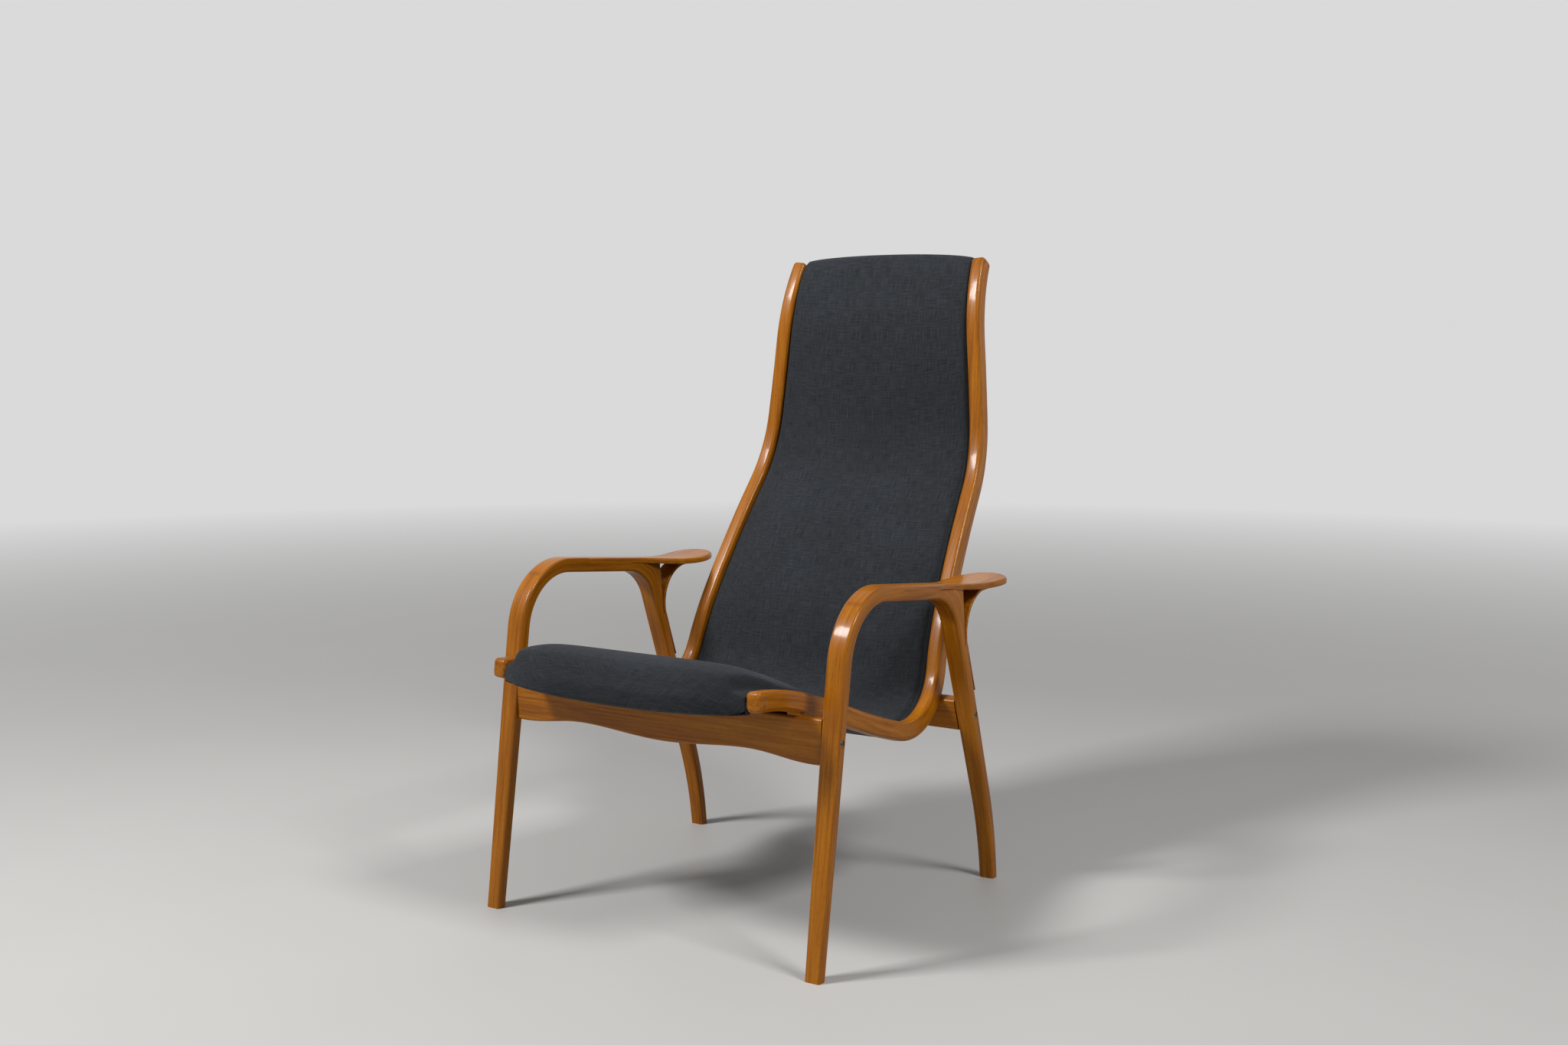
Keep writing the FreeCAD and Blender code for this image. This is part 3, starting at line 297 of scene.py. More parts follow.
@dataclass(frozen=True)
class LacqueredBeech:
    """Brown-stained beech in layers, with fine flecks under a satin lacquer."""

    name: str = "lacquered_beech"
    dark: Colour = (0.135, 0.034, 0.0012)
    honey: Colour = (0.312, 0.100, 0.0022)
    pale: Colour = (0.445, 0.170, 0.0095)
    layer: float = 0.0033
    roughness: float = 0.34
    coat: float = 0.18
    coat_roughness: float = 0.12
    gloss: float = 0.12

    def make(self) -> bpy.types.Material:
        """Builds the material."""
        board = NodeBoard(self.name)
        grain = board.node("Attribute", attribute_name="grain").outputs["Vector"]
        streak = board.noise(board.scaled(grain, (9, 260, 260)), detail=6, roughness=0.62)
        broad = board.noise(board.scaled(grain, (1.6, 20, 45)), detail=3)
        fleck = board.noise(board.scaled(grain, (150, 1300, 1300)), detail=2, roughness=0.4)
        pores = board.noise(board.scaled(grain, (45, 1900, 1900)), detail=2, roughness=0.5)
        mixed = board.sum_of("ADD", board.sum_of("MULTIPLY", streak, 0.6),
                             board.sum_of("MULTIPLY", broad, 0.4))
        tone = board.node("ValToRGB", {"Fac": board.spread(mixed, 0.30, 0.70)})
        ramp = tone.color_ramp
        ramp.elements[0].color = (*self.dark, 1)
        ramp.elements[1].color = (*self.pale, 1)
        ramp.elements.new(0.5).color = (*self.honey, 1)
        flecked = board.blend(board.spread(fleck, 0.60, 0.72, 0, 0.55), tone.outputs["Color"], self.dark)
        pored = board.blend(board.spread(pores, 0.62, 0.75, 0, 0.35), flecked, self.dark)
        depth = board.node("SeparateXYZ", {"Vector": grain}).outputs["Z"]
        cycle = board.sum_of("FRACT", board.sum_of("MULTIPLY", depth, 1 / self.layer), 0.0)
        edge = board.sum_of("ABSOLUTE", board.sum_of("SUBTRACT", cycle, 0.5), 0.0)
        joint = board.spread(edge, 0.44, 0.49, 0, 0.4)
        board.feed(board.shader.inputs["Base Color"], board.blend(joint, pored, self.dark))
        board.feed(board.shader.inputs["Roughness"],
                   board.spread(streak, 0.3, 0.7, self.roughness + 0.06, self.roughness - 0.05))
        board.shader.inputs["Coat Weight"].default_value = self.coat
        board.shader.inputs["Coat Roughness"].default_value = self.coat_roughness
        board.shader.inputs["Specular IOR Level"].default_value = self.gloss
        board.bump(board.sum_of("ADD", streak, board.sum_of("MULTIPLY", pores, 0.5)), 0.12, 0.0004)
        return board.material


@dataclass(frozen=True)
class RawBeech:
    """Plain sawn beech for slats and dowels that the upholstery hides."""

    name: str = "raw_beech"
    dark: Colour = (0.42, 0.25, 0.12)
    pale: Colour = (0.66, 0.46, 0.27)

    def make(self) -> bpy.types.Material:
        """Builds the material."""
        board = NodeBoard(self.name)
        place = board.node("TexCoord").outputs["Object"]
        streak = board.noise(board.scaled(place, (12, 260, 260)), detail=5, roughness=0.6)
        colour = board.blend(board.spread(streak, 0.3, 0.7), self.dark, self.pale)
        board.feed(board.shader.inputs["Base Color"], colour)
        board.feed(board.shader.inputs["Roughness"], board.spread(streak, 0.3, 0.7, 0.55, 0.75))
        board.bump(streak, 0.2, 0.0005)
        return board.material


class Weave(Enum):
    """How coarse a cloth is woven."""

    UPHOLSTERY = 0.0021
    LINING = 0.0011
    WEBBING = 0.0026


@dataclass(frozen=True)
class WovenCloth:
    """Woven cloth whose threads follow the piece's own weave attribute, with painted shade between the
    threads.
    """

    name: str
    weave: Weave
    dark: Colour
    light: Colour
    relief: float = 0.5
    sheen: float = 0.06
    patches: float = 0.22

    def make(self) -> bpy.types.Material:
        """Builds the material."""
        board = NodeBoard(self.name)
        cloth = board.node("Attribute", attribute_name="weave").outputs["Vector"]
        pitch = self.weave.value
        bands = math.pi / 10 / pitch
        across, along = (board.node("TexWave", {"Vector": cloth, "Scale": bands, "Distortion": 0.0},
                                    bands_direction=axis) for axis in ("X", "Y"))
        threads = board.sum_of("MAXIMUM", across.outputs["Fac"], along.outputs["Fac"])
        weft = board.noise(board.scaled(cloth, (38, 1.25 / pitch, 1)), detail=2, roughness=0.6)
        warp = board.noise(board.scaled(cloth, (1.25 / pitch, 38, 1)), detail=2, roughness=0.6)
        slub = board.sum_of("ADD", weft, warp)
        fuzz = board.noise(board.scaled(cloth, (700, 700, 700)), detail=2)
        tone = board.sum_of("ADD", board.spread(slub, 0.72, 1.28, 0.0, 0.8),
                            board.sum_of("MULTIPLY", fuzz, 0.2))
        yarn = board.blend(tone, self.dark, self.light)
        place = board.node("TexCoord").outputs["Object"]
        soft = board.noise(place, scale=7.0, detail=2, roughness=0.45)
        shade = board.spread(soft, 0.3, 0.7, 1 - self.patches, 1 + self.patches * 0.3)
        grey = board.node("CombineXYZ", {"X": shade, "Y": shade, "Z": shade}).outputs["Vector"]
        toned = board.blend(1.0, yarn, grey, "MULTIPLY")
        # Painted shade: the base colour is darkened by up to 45% in the gaps between the threads, where
        # the weave's hollows lie in shade.
        gap_shade = board.spread(threads, 0.1, 0.7, 0.55, 1.0)
        gap_shade_grey = board.node("CombineXYZ", {"X": gap_shade, "Y": gap_shade, "Z": gap_shade}).outputs["Vector"]
        board.feed(board.shader.inputs["Base Color"], board.blend(1.0, toned, gap_shade_grey, "MULTIPLY"))
        board.feed(board.shader.inputs["Roughness"], board.spread(slub, 0.7, 1.3, 0.95, 0.82))
        board.shader.inputs["Sheen Weight"].default_value = self.sheen
        board.shader.inputs["Sheen Roughness"].default_value = 0.45
        board.shader.inputs["Sheen Tint"].default_value = (0.75, 0.82, 1.0, 1.0)
        board.shader.inputs["Specular IOR Level"].default_value = 0.25
        height = board.sum_of("ADD", threads, board.sum_of("MULTIPLY", slub, 0.6))
        board.bump(height, self.relief, 0.0007)
        return board.material


@dataclass(frozen=True)
class ZincSteel:
    """Dull plated steel of the bolts and nuts."""

    name: str = "zinc_steel"
    dark: Colour = (0.16, 0.16, 0.165)
    pale: Colour = (0.34, 0.34, 0.35)

    def make(self) -> bpy.types.Material:
        """Builds the material."""
        board = NodeBoard(self.name)
        place = board.node("TexCoord").outputs["Object"]
        spots = board.noise(place, scale=900.0, detail=3)
        colour = board.blend(board.spread(spots, 0.3, 0.7), self.dark, self.pale)
        board.feed(board.shader.inputs["Base Color"], colour)
        board.feed(board.shader.inputs["Roughness"], board.spread(spots, 0.3, 0.7, 0.32, 0.5))
        board.shader.inputs["Metallic"].default_value = 1.0
        board.bump(spots, 0.1, 0.0002)
        return board.material


@dataclass
class Finishes:
    """Every material of the chair, made once."""

    wood: bpy.types.Material = field(default_factory=lambda: LacqueredBeech().make())
    raw_wood: bpy.types.Material = field(default_factory=lambda: RawBeech().make())
    cover: bpy.types.Material = field(default_factory=lambda: WovenCloth(
        "charcoal_cover", Weave.UPHOLSTERY, (0.0062, 0.0076, 0.0102), (0.030, 0.034, 0.040)).make())
    lining: bpy.types.Material = field(default_factory=lambda: WovenCloth(
        "black_lining", Weave.LINING, (0.014, 0.015, 0.018), (0.044, 0.047, 0.053), sheen=0.1).make())
    webbing: bpy.types.Material = field(default_factory=lambda: WovenCloth(
        "seat_strap", Weave.WEBBING, (0.02, 0.02, 0.02), (0.09, 0.09, 0.09), sheen=0.05).make())
    steel: bpy.types.Material = field(default_factory=lambda: ZincSteel().make())


# Mesh helpers


def new_piece(name: str, mesh_tool: bmesh.types.BMesh, finish: bpy.types.Material,
              replaces: Iterable[str] = ()) -> bpy.types.Object:
    """Makes a finished object from a bmesh and puts it on the chair's body.

    Args:
        name: The piece's name.
        mesh_tool: The bmesh, which is freed.
        finish: Its material.
        replaces: CAD nodes that it stands for.

    Returns:
        The object.
    """
    mesh = bpy.data.meshes.new(name)
    mesh_tool.to_mesh(mesh)
    mesh_tool.free()
    piece = bpy.data.objects.new(name, mesh)
    bpy.context.scene.collection.objects.link(piece)
    mesh.materials.append(finish)
    for polygon in mesh.polygons:
        polygon.use_smooth = True
    settle(piece, replaces)
    LOG.info("%s: %d faces", name, len(mesh.polygons))
    return piece


def settle(piece: bpy.types.Object, replaces: Iterable[str] = ()) -> None:
    """Puts a piece on the chair's body and hides the CAD nodes it stands for."""
    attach(piece, "root")
    nodes = list(replaces)
    if nodes:
        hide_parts(*nodes)


def coordinates(mesh: bpy.types.Mesh) -> np.ndarray:
    """A mesh's vertices, one per row."""
    found = np.zeros(len(mesh.vertices) * 3)
    mesh.vertices.foreach_get("co", found)
    return found.reshape(-1, 3)


def write_vectors(mesh: bpy.types.Mesh, name: str, values: np.ndarray) -> None:
    """Stores one vector per vertex as an attribute."""
    attribute = mesh.attributes.get(name) or mesh.attributes.new(name, "FLOAT_VECTOR", "POINT")
    attribute.data.foreach_set("vector", values.astype(np.float32).ravel())


def merged_copy(node: str) -> bmesh.types.BMesh:
    """A CAD node's triangles as a bmesh of its own, with doubles merged."""
    tool = bmesh.new()
    tool.from_mesh(bpy.data.objects[node].data)
    bmesh.ops.remove_doubles(tool, verts=tool.verts, dist=MERGE)
    return tool


def sharpen(piece: bpy.types.Object, degrees: float) -> None:
    """Marks edges sharper than an angle, so that shading stays smooth over the rest."""
    tool = bmesh.new()
    tool.from_mesh(piece.data)
    limit = math.radians(degrees)
    for edge in tool.edges:
        edge.smooth = len(edge.link_faces) == 2 and edge.calc_face_angle(0.0) < limit
    tool.to_mesh(piece.data)
    tool.free()


# Wooden parts


@dataclass
class WoodPiece:
    """One wooden node dressed in grain that follows its bends."""

    node: str
    run: GrainRun
    line: Optional[SideLine] = None
    seed: float = 0.0

    def dress(self, finish: bpy.types.Material) -> bpy.types.Object:
        """Makes the piece that stands for the node.

        Args:
            finish: The wood's material.

        Returns:
            The new object.
        """
        piece = new_piece(self.node + "_wood", merged_copy(self.node), finish, [self.node])
        sharpen(piece, CREASE)
        spots = coordinates(piece.data)
        if self.run is GrainRun.BENT and self.line is not None:
            along, off = self.line.measure(spots[:, 1:3])
            grain = np.column_stack([along, spots[:, 0], off])
        else:
            grain = np.column_stack([spots[:, 0], spots[:, 2], spots[:, 1]])
        write_vectors(piece.data, "grain", grain + np.array([self.seed, self.seed * 0.37, 0.0]))
        return piece


@dataclass
class SideFrames:
    """The two bent leg and arm frames, with their armrests and thin braces.

    Corners are y, z and bend radius in millimetres from the front foot datum.
    """

    parts: tuple[tuple[str, tuple[Corner, ...]], ...] = (
        ("front_leg", ((-1.5, 0, 0), (73.5, 514.0, 100), (350, 497.5, 0))),
        ("rear_leg", ((538.7, 0, 0), (527.4, 87, 618), (380, 489.6, 80), (302, 498, 0))),
        ("arm_brace", ((453.3, 325, 0), (398, 476, 66), (530, 464, 0))),
        ("armrest", ((215, 513.5, 0), (415, 492, 600), (547, 493, 0))),
    )
    side_seed: float = 1.7
    part_seed: float = 0.61

    def build(self, finishes: Finishes) -> None:
        """Dresses both frames."""
        for side in Side:
            for number, (part, corners) in enumerate(self.parts):
                seed = self.side_seed * side.value + self.part_seed * number
                piece = WoodPiece(f"{side.word}_{part}", GrainRun.BENT, SideLine.cornered(corners), seed)
                piece.dress(finishes.wood)


@dataclass
class CrossRails:
    """The two straight rails between the side frames."""

    rails: tuple[str, ...] = ("front_cross_rail", "rear_cross_rail")

    def build(self, finishes: Finishes) -> None:
        """Dresses both rails."""
        for number, rail in enumerate(self.rails):
            WoodPiece(rail, GrainRun.ACROSS, seed=4.2 + number).dress(finishes.wood)


@dataclass
class ShellFrame:
    """The bent side rails, with the slats, straps and spacers between them."""

    line: ShellLine
    slats: tuple[str, ...] = ("front_slat", "crease_slat", "lumbar_slat", "middle_slat", "top_slat")
    straps: tuple[str, ...] = ("seat_webbing", "back_webbing")

    def build(self, finishes: Finishes) -> None:
        """Dresses the shell's frame."""
        side_line = self.line.side_line()
        for side in Side:
            WoodPiece(f"{side.word}_side_rail", GrainRun.BENT, side_line, 7.3 + side.value).dress(
                finishes.wood)
        WoodPiece("shell_spacers", GrainRun.ACROSS, seed=9.4).dress(finishes.wood)
        for node in self.slats:
            paint(node, finishes.raw_wood)
        for node in self.straps:
            piece = new_piece(node + "_straps", merged_copy(node), finishes.webbing, [node])
            sharpen(piece, CREASE)
            write_vectors(piece.data, "weave", weave_of(coordinates(piece.data), side_line))


def paint(node: str, finish: bpy.types.Material) -> None:
    """Gives a CAD node that stays shown its material."""
    thing = bpy.data.objects[node]
    thing.data.materials.clear()
    thing.data.materials.append(finish)


def weave_of(spots: np.ndarray, line: SideLine) -> np.ndarray:
    """Cloth coordinates that run over the upholstery's faces and round its edges.

    Args:
        spots: Points of a piece.
        line: The shell's side line.

    Returns:
        Across, along and depth in metres, one row per point.
    """
    along, off = line.measure(spots[:, 1:3])
    across = np.sign(spots[:, 0]) * (np.abs(spots[:, 0]) - off)
    return np.column_stack([across, along + off, off])


@dataclass
class Hardware:
    """Bolts, barrel nuts and dowels of the joints."""

    steel: tuple[str, ...] = ("leg_bolts", "barrel_nuts", "shell_bolts")
    wood: tuple[str, ...] = ("rail_dowels",)

    def build(self, finishes: Finishes) -> None:
        """Dresses the joints' parts."""
        for node in self.steel:
            paint(node, finishes.steel)
        for node in self.wood:
            paint(node, finishes.raw_wood)


# Upholstery


@dataclass(frozen=True)
class PadSection:
    """One section across the upholstery, in metres: how far its faces stand off the line and bulge."""

    distance: float
    back: float
    front: float
    belly: float
    crown: float


@dataclass(frozen=True)
class Ramp:
    """A value that changes in straight steps between stations along the shell."""

    stations: tuple[float, ...]
    values: tuple[float, ...]

    def at(self, distance: float | np.ndarray) -> float | np.ndarray:
        """The value at one distance or at many."""
        return np.interp(distance, self.stations, self.values)


@dataclass(frozen=True)
class LiningCut:
    """One plain cloth, as cut flat before it is stretched, in metres and square metres."""

    node: str
    flat: tuple[float, float]
    area: float
    slats: tuple[str, ...]


@dataclass
class Upholstery:
    """The one padded cover over seat and back, with the plain cloths under and behind it.

    Lengths are in metres. Powers shape the curves across: the higher, the squarer.
    """

    line: ShellLine
    gap: float = 0.0008
    slack: float = 0.003
    swell_cap: float = 0.006
    smoothing: int = 14
    air_frames: int = 20
    run_step: float = 0.0085
    across: int = 46
    corner_steps: int = 6
    crowding: float = 0.82
    belly_power: float = 2.2
    crown_power: float = 9.0
    nose_power: float = 4.6
    top_bow: float = 0.008
    top_from: float = 1.2
    mean_half: float = 0.22
    back_corner: float = 0.45
    front_corner: Ramp = Ramp((0.0, 0.08, 1.15, 1.22), (0.02, 0.010, 0.009, 0.005))
    corner_width: Ramp = Ramp((0.0, 0.09, 1.15, 1.22), (0.026, 0.012, 0.009, 0.004))
    loose: Ramp = Ramp((0.03, 0.10, 1.20, 1.26), (0.0, 1.0, 1.0, 0.0))
    linings: tuple[LiningCut, ...] = (
        LiningCut("under_cloth", (0.443, 0.530), 0.2275, ("front_slat", "crease_slat")),
        LiningCut("back_cloth", (0.435, 0.780), 0.2930, ("lumbar_slat", "middle_slat", "top_slat")),
    )
    sections: tuple[PadSection, ...] = (
        PadSection(-0.0245, -0.009, 0.002, 0.004, 0.010),
        PadSection(-0.0215, -0.015, 0.008, 0.008, 0.016),
        PadSection(-0.0120, -0.018, 0.013, 0.011, 0.024),
        PadSection(0.0040, -0.017, 0.013, 0.012, 0.029),
        PadSection(0.0350, -0.013, 0.013, 0.009, 0.030),
        PadSection(0.0700, -0.012, 0.012, 0.003, 0.029),
        PadSection(0.1050, -0.012, 0.012, 0.001, 0.025),
        PadSection(0.2350, -0.012, 0.011, 0.001, 0.017),
        PadSection(0.3900, -0.012, 0.011, 0.001, 0.013),
        PadSection(0.5650, -0.012, 0.011, 0.001, 0.012),
        PadSection(0.6620, -0.012, 0.011, 0.001, 0.014),
        PadSection(0.8760, -0.012, 0.011, 0.001, 0.014),
        PadSection(1.0700, -0.012, 0.011, 0.001, 0.010),
        PadSection(1.1370, -0.012, 0.011, 0.001, 0.008),
        PadSection(1.2040, -0.012, 0.011, 0.001, 0.007),
        PadSection(1.2620, -0.012, 0.011, 0.003, 0.006),
        PadSection(1.2820, -0.011, 0.009, 0.003, 0.006),
        PadSection(1.2915, -0.007, 0.005, 0.003, 0.004),
    )

    def section_at(self, distance: float) -> PadSection:
        """The section at a distance, between the named ones."""
        table = np.array([[s.distance, s.back, s.front, s.belly, s.crown] for s in self.sections])
        known = table[:, 0]
        return PadSection(distance, *(float(np.interp(distance, known, row)) for row in table[:, 1:].T))

    def ring(self, section: PadSection, shrink: float, pinch: float = 0.0) -> list[Vector]:
        """Points round one section, starting at its left back corner.

        Args:
            section: The section.
            shrink: How far its front stands in from the finished cover.
            pinch: How far the front and back are drawn together, 1 where they meet at an end of the pad.

        Returns:
            Points in the chair's frame, the same count for every section.
        """
        low = section.back
        high = section.front - shrink * float(self.loose.at(section.distance))
        level = (low + high) / 2
        radius = min(float(self.front_corner.at(section.distance)), (high - low) * 0.48)
        lower = radius * self.back_corner
        share = float(self.corner_width.at(section.distance)) / self.mean_half
        flat = 1 - share
        parts = [-1 + 2 * step / self.across for step in range(self.across + 1)]
        parts = [math.copysign(abs(part) ** self.crowding, part) * flat for part in parts]
        turns = [math.pi / 2 * step / self.corner_steps for step in range(1, self.corner_steps)]

        def bulge(part: float, height: float, power: float) -> float:
            """How far a face stands out at a share of the half width."""
            return height * max(0.0, 1 - abs(part) ** power)

        wall = [*((flat + share * math.sin(turn), low + lower * (1 - math.cos(turn))) for turn in turns),
                (1.0, level),
                *((flat + share * math.cos(turn), high - radius * (1 - math.sin(turn)))
                  for turn in turns)]
        outline = [*((part, low - bulge(part, section.belly, self.belly_power)) for part in parts), *wall,
                   *((-part, high + bulge(part, section.crown, self.crown_power)) for part in parts),
                   *((-part, offset) for part, offset in reversed(wall))]
        found = []
        for part, offset in outline:
            inward = part / flat
            middle = level + (bulge(inward, section.crown, self.crown_power)
                              - bulge(inward, section.belly, self.belly_power)) / 2
            offset += (middle - offset) * pinch
            run = section.distance
            if run < 0:
                run *= 1 - abs(part) ** self.nose_power
            elif run > self.top_from:
                late = (run - self.top_from) / (self.sections[-1].distance - self.top_from)
                run -= self.top_bow * abs(part) ** self.belly_power * late
            spot = self.line.place(run, 0, offset)
            found.append(Vector((part * (self.line.half_width(spot) - self.gap), spot.y, spot.z)))
        return found

    def pad_mesh(self, shrink: float) -> bmesh.types.BMesh:
        """The closed pad, a grid laid round its sections and drawn together at both ends.

        Args:
            shrink: How far its front stands in from the finished cover.

        Returns:
            The mesh.
        """
        first, last = self.sections[0].distance, self.sections[-1].distance
        inner = np.linspace(0.012, 1.27, round(1.258 / self.run_step))
        stations = sorted({first, -0.0235, -0.022, -0.0195, -0.0165, -0.012, -0.006, 0.0, 0.006,
                           *(float(v) for v in inner), 1.276, 1.281, 1.285, 1.2885, last})
        drawn = [(first - 0.0026, 1.0), (first - 0.0022, 0.7), (first - 0.0013, 0.35),
                 *((station, 0.0) for station in stations), (last + 0.0008, 0.5), (last + 0.0012, 1.0)]
        rings = [self.ring(self.section_at(s), shrink, pinch) for s, pinch in drawn]
        around, runs = len(rings[0]), len(rings) - 1
        tool = bmesh.new()
        bmesh.ops.create_grid(tool, x_segments=around, y_segments=runs, size=1.0)
        for vert in tool.verts:
            column = round((vert.co.x + 1) / 2 * around) % around
            vert.co = rings[round((vert.co.y + 1) / 2 * runs)][column]
        bmesh.ops.remove_doubles(tool, verts=tool.verts, dist=0.000001)
        bmesh.ops.recalc_face_normals(tool, faces=tool.faces)
        return tool

    def held_share(self, rest: np.ndarray) -> np.ndarray:
        """How firmly each point of the pad stays: 1 at its back, sides and ends, 0 on its open face."""
        along, off = self.line.side_line().measure(rest[:, 1:3])
        walls = np.array([self.line.half_width(Vector(spot)) for spot in rest]) - np.abs(rest[:, 0])
        at_back = np.clip(1 - (off - 0.004) / 0.010, 0, 1)
        at_sides = np.clip(1 - (walls - 0.004) / 0.012, 0, 1)
        at_ends = 1 - self.loose.at(along - LEAD)
        return np.maximum(np.maximum(at_back, at_sides), at_ends)

    def fill_with_air(self, piece: bpy.types.Object, held: np.ndarray) -> np.ndarray:
        """Runs the cloth simulation.

        Args:
            piece: The pad.
            held: How firmly each point stays.

        Returns:
            The points after the last frame.
        """
        group = piece.vertex_groups.new(name="held")
        for index, weight in enumerate(held):
            if weight > 0:
                group.add([index], float(weight), "REPLACE")
        cloth = piece.modifiers.new("air", "CLOTH")
        cloth.settings.quality = 5
        cloth.settings.mass = 0.25
        cloth.settings.tension_stiffness = 15
        cloth.settings.compression_stiffness = 15
        cloth.settings.bending_stiffness = 1.5
        cloth.settings.vertex_group_mass = "held"
        cloth.settings.use_pressure = True
        cloth.settings.uniform_pressure_force = 4
        cloth.settings.effector_weights.gravity = 0
        cloth.collision_settings.use_collision = False
        cloth.collision_settings.use_self_collision = False
        cloth.point_cache.frame_start, cloth.point_cache.frame_end = 1, self.air_frames
        scene = bpy.context.scene
        for frame_number in range(1, self.air_frames + 1):
            scene.frame_set(frame_number)
        swollen = coordinates(piece.evaluated_get(bpy.context.evaluated_depsgraph_get()).data)
        piece.modifiers.remove(cloth)
        scene.frame_set(1)
        return swollen

    def swell(self, piece: bpy.types.Object) -> None:
        """Fills the pad with air and keeps its movement capped and even.

        Args:
            piece: The pad, smaller than its finished shape by the slack.
        """
        mesh = piece.data
        rest = coordinates(mesh)
        held = self.held_share(rest)
        free = (1 - held)[:, None]
        move = self.fill_with_air(piece, held) - rest
        length = np.maximum(np.linalg.norm(move, axis=1), 1e-9)[:, None]
        move *= np.minimum(length, self.swell_cap) / length * free
        links = np.empty(len(mesh.edges) * 2, dtype=np.int64)
        mesh.edges.foreach_get("vertices", links)
        ends = links.reshape(-1, 2)
        count = np.maximum(np.bincount(links, minlength=len(rest)), 1)[:, None]
        for _ in range(self.smoothing):
            total = np.zeros_like(move)
            np.add.at(total, ends[:, 0], move[ends[:, 1]])
            np.add.at(total, ends[:, 1], move[ends[:, 0]])
            move = 0.5 * move + 0.5 * total / count * free
        mesh.vertices.foreach_set("co", (rest + move).ravel())
        mesh.update()
        LOG.info("pad swelled by up to %.1f mm", float(np.linalg.norm(move, axis=1).max()) / MM)

    def build(self, finishes: Finishes) -> None:
        """Makes the pad and the cloths."""
        pad = new_piece("seat_and_back_pad", self.pad_mesh(self.slack), finishes.cover,
                        ["upholstery_cover", "seat_foam", "back_foam"])
        self.swell(pad)
        self.refine(pad)
        side_line = self.line.side_line()
        for cut in self.linings:
            cloth = new_piece(cut.node + "_lining", merged_copy(cut.node), finishes.lining,
                              [cut.node])
            sharpen(cloth, 40)
            write_vectors(cloth.data, "weave", weave_of(coordinates(cloth.data), side_line))

    def refine(self, piece: bpy.types.Object) -> None:
        """Subdivides the pad once and lays the weave over it."""
        smooth = piece.modifiers.new("smooth", "SUBSURF")
        smooth.levels = smooth.render_levels = 1
        fine = bpy.data.meshes.new_from_object(piece.evaluated_get(bpy.context.evaluated_depsgraph_get()))
        piece.modifiers.remove(smooth)
        old = piece.data
        piece.data = fine
        bpy.data.meshes.remove(old)
        for polygon in fine.polygons:
            polygon.use_smooth = True
        spots = coordinates(fine)
        half = np.array([self.line.half_width(Vector(p)) for p in spots]) - self.gap * 0.6
        spots[:, 0] = np.clip(spots[:, 0], -half, half)
        fine.vertices.foreach_set("co", spots.ravel())
        fine.update()
        write_vectors(fine, "weave", weave_of(spots, self.line.side_line()))


# Studio


@dataclass(frozen=True)
class SoftLamp:
    """A square area lamp that faces a point, in metres and watts."""

    name: str
    place: tuple[float, float, float]
    target: tuple[float, float, float]
    size: float
    power: float

    def hang(self) -> None:
        """Adds the lamp to the scene."""
        data = bpy.data.lights.new(self.name, "AREA")
        data.shape = "SQUARE"
        data.size = self.size
        data.energy = self.power
        lamp = bpy.data.objects.new(self.name, data)
        lamp.location = self.place
        towards = Vector(self.target) - Vector(self.place)
        lamp.rotation_euler = towards.to_track_quat("-Z", "Y").to_euler()
        bpy.context.scene.collection.objects.link(lamp)


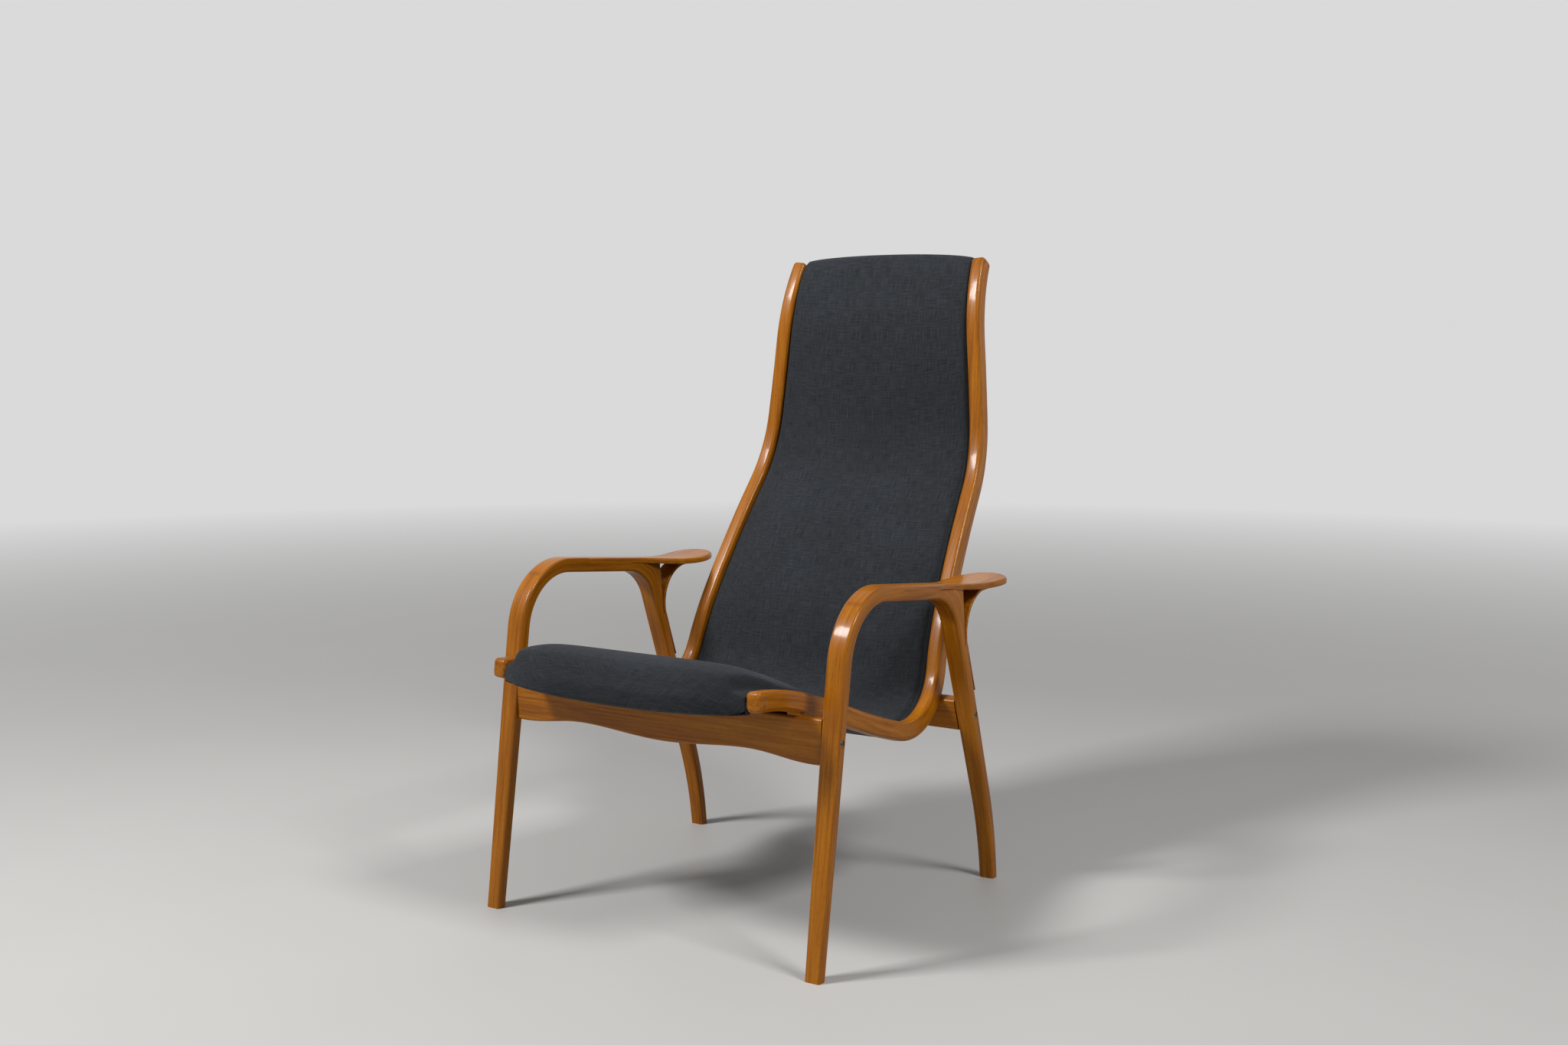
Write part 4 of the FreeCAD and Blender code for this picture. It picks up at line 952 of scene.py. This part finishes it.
@dataclass
class Studio:
    """Pale floor and backdrop, soft lamps and the camera at the photograph's angle."""

    lamps: tuple[SoftLamp, ...] = (
        SoftLamp("left_softbox", (-1.4, -2.05, 2.9), (0, 0, 0.45), 0.7, 112.0),
        SoftLamp("right_softbox", (2.3, -0.6, 3.0), (0, 0, 0.5), 0.8, 66.0),
    )
    ambient_level: float = 0.16
    camera_place: tuple[float, float, float] = (1.4488, -2.2275, 0.8679)
    pitch: float = 0.1075
    yaw: float = 0.5667
    lens: float = 39.05
    floor_colour: Colour = (0.50, 0.492, 0.478)
    floor_reach: float = 40.0
    backdrop_level: float = 0.70

    def build(self) -> None:
        """Makes the floor, the light and the camera."""
        self.make_camera()
        self.make_floor()
        self.make_light()

    def make_camera(self) -> None:
        """Places the camera."""
        data = bpy.data.cameras.new("view")
        data.lens = self.lens
        data.sensor_width = 36.0
        data.clip_end = 100.0
        camera = bpy.data.objects.new("view", data)
        camera.location = self.camera_place
        camera.rotation_euler = (math.pi / 2 - self.pitch, 0.0, self.yaw)
        bpy.context.scene.collection.objects.link(camera)
        bpy.context.scene.camera = camera

    def make_floor(self) -> None:
        """Lays a large pale floor."""
        tool = bmesh.new()
        bmesh.ops.create_grid(tool, x_segments=24, y_segments=24, size=self.floor_reach)
        mesh = bpy.data.meshes.new("floor")
        tool.to_mesh(mesh)
        tool.free()
        floor = bpy.data.objects.new("floor", mesh)
        bpy.context.scene.collection.objects.link(floor)
        board = NodeBoard("pale_floor")
        place = board.node("TexCoord").outputs["Object"]
        cloud = board.noise(place, scale=2.0, detail=2)
        warm = tuple(c * 0.97 for c in self.floor_colour)
        board.feed(board.shader.inputs["Base Color"],
                   board.blend(board.spread(cloud, 0.3, 0.7), warm, self.floor_colour))
        board.shader.inputs["Roughness"].default_value = 0.6
        reach = board.node("VectorMath", {"Vector": place}, operation="LENGTH").outputs["Value"]
        far = board.node("Emission", {"Color": (1.0, 1.0, 1.0, 1.0), "Strength": self.backdrop_level})
        fade = board.node("MixShader", {"Fac": board.spread(reach, 1.7, 6.5)})
        board.feed(fade.inputs[1], board.shader.outputs["BSDF"])
        board.feed(fade.inputs[2], far.outputs["Emission"])
        board.feed(board.tree.nodes["Material Output"].inputs["Surface"], fade.outputs["Shader"])
        mesh.materials.append(board.material)

    def make_light(self) -> None:
        """Hangs the lamps in an even pale room, dimmer for soft light than it looks."""
        for lamp in self.lamps:
            lamp.hang()
        world = bpy.data.worlds.new("room")
        world.use_nodes = True
        tree = world.node_tree
        background = tree.nodes["Background"]
        path = tree.nodes.new("ShaderNodeLightPath")
        seen = path.outputs["Is Camera Ray"]
        for ray in ("Is Transmission Ray", "Is Glossy Ray"):
            either = tree.nodes.new("ShaderNodeMath")
            either.operation = "MAXIMUM"
            tree.links.new(seen, either.inputs[0])
            tree.links.new(path.outputs[ray], either.inputs[1])
            seen = either.outputs["Value"]
        level = tree.nodes.new("ShaderNodeMapRange")
        level.inputs["To Min"].default_value = self.ambient_level
        level.inputs["To Max"].default_value = self.backdrop_level
        tree.links.new(seen, level.inputs["Value"])
        tree.links.new(level.outputs["Result"], background.inputs["Strength"])
        background.inputs["Color"].default_value = (1.0, 1.0, 1.0, 1.0)
        bpy.context.scene.world = world


def main() -> None:
    """Builds the chair's looks and the studio.
    """
    Studio().build()
    finishes = Finishes()
    line = ShellLine()
    SideFrames().build(finishes)
    CrossRails().build(finishes)
    ShellFrame(line).build(finishes)
    Hardware().build(finishes)
    Upholstery(line).build(finishes)
    bpy.context.scene.view_settings.view_transform = "Standard"


if __name__ == "__main__":
    main()
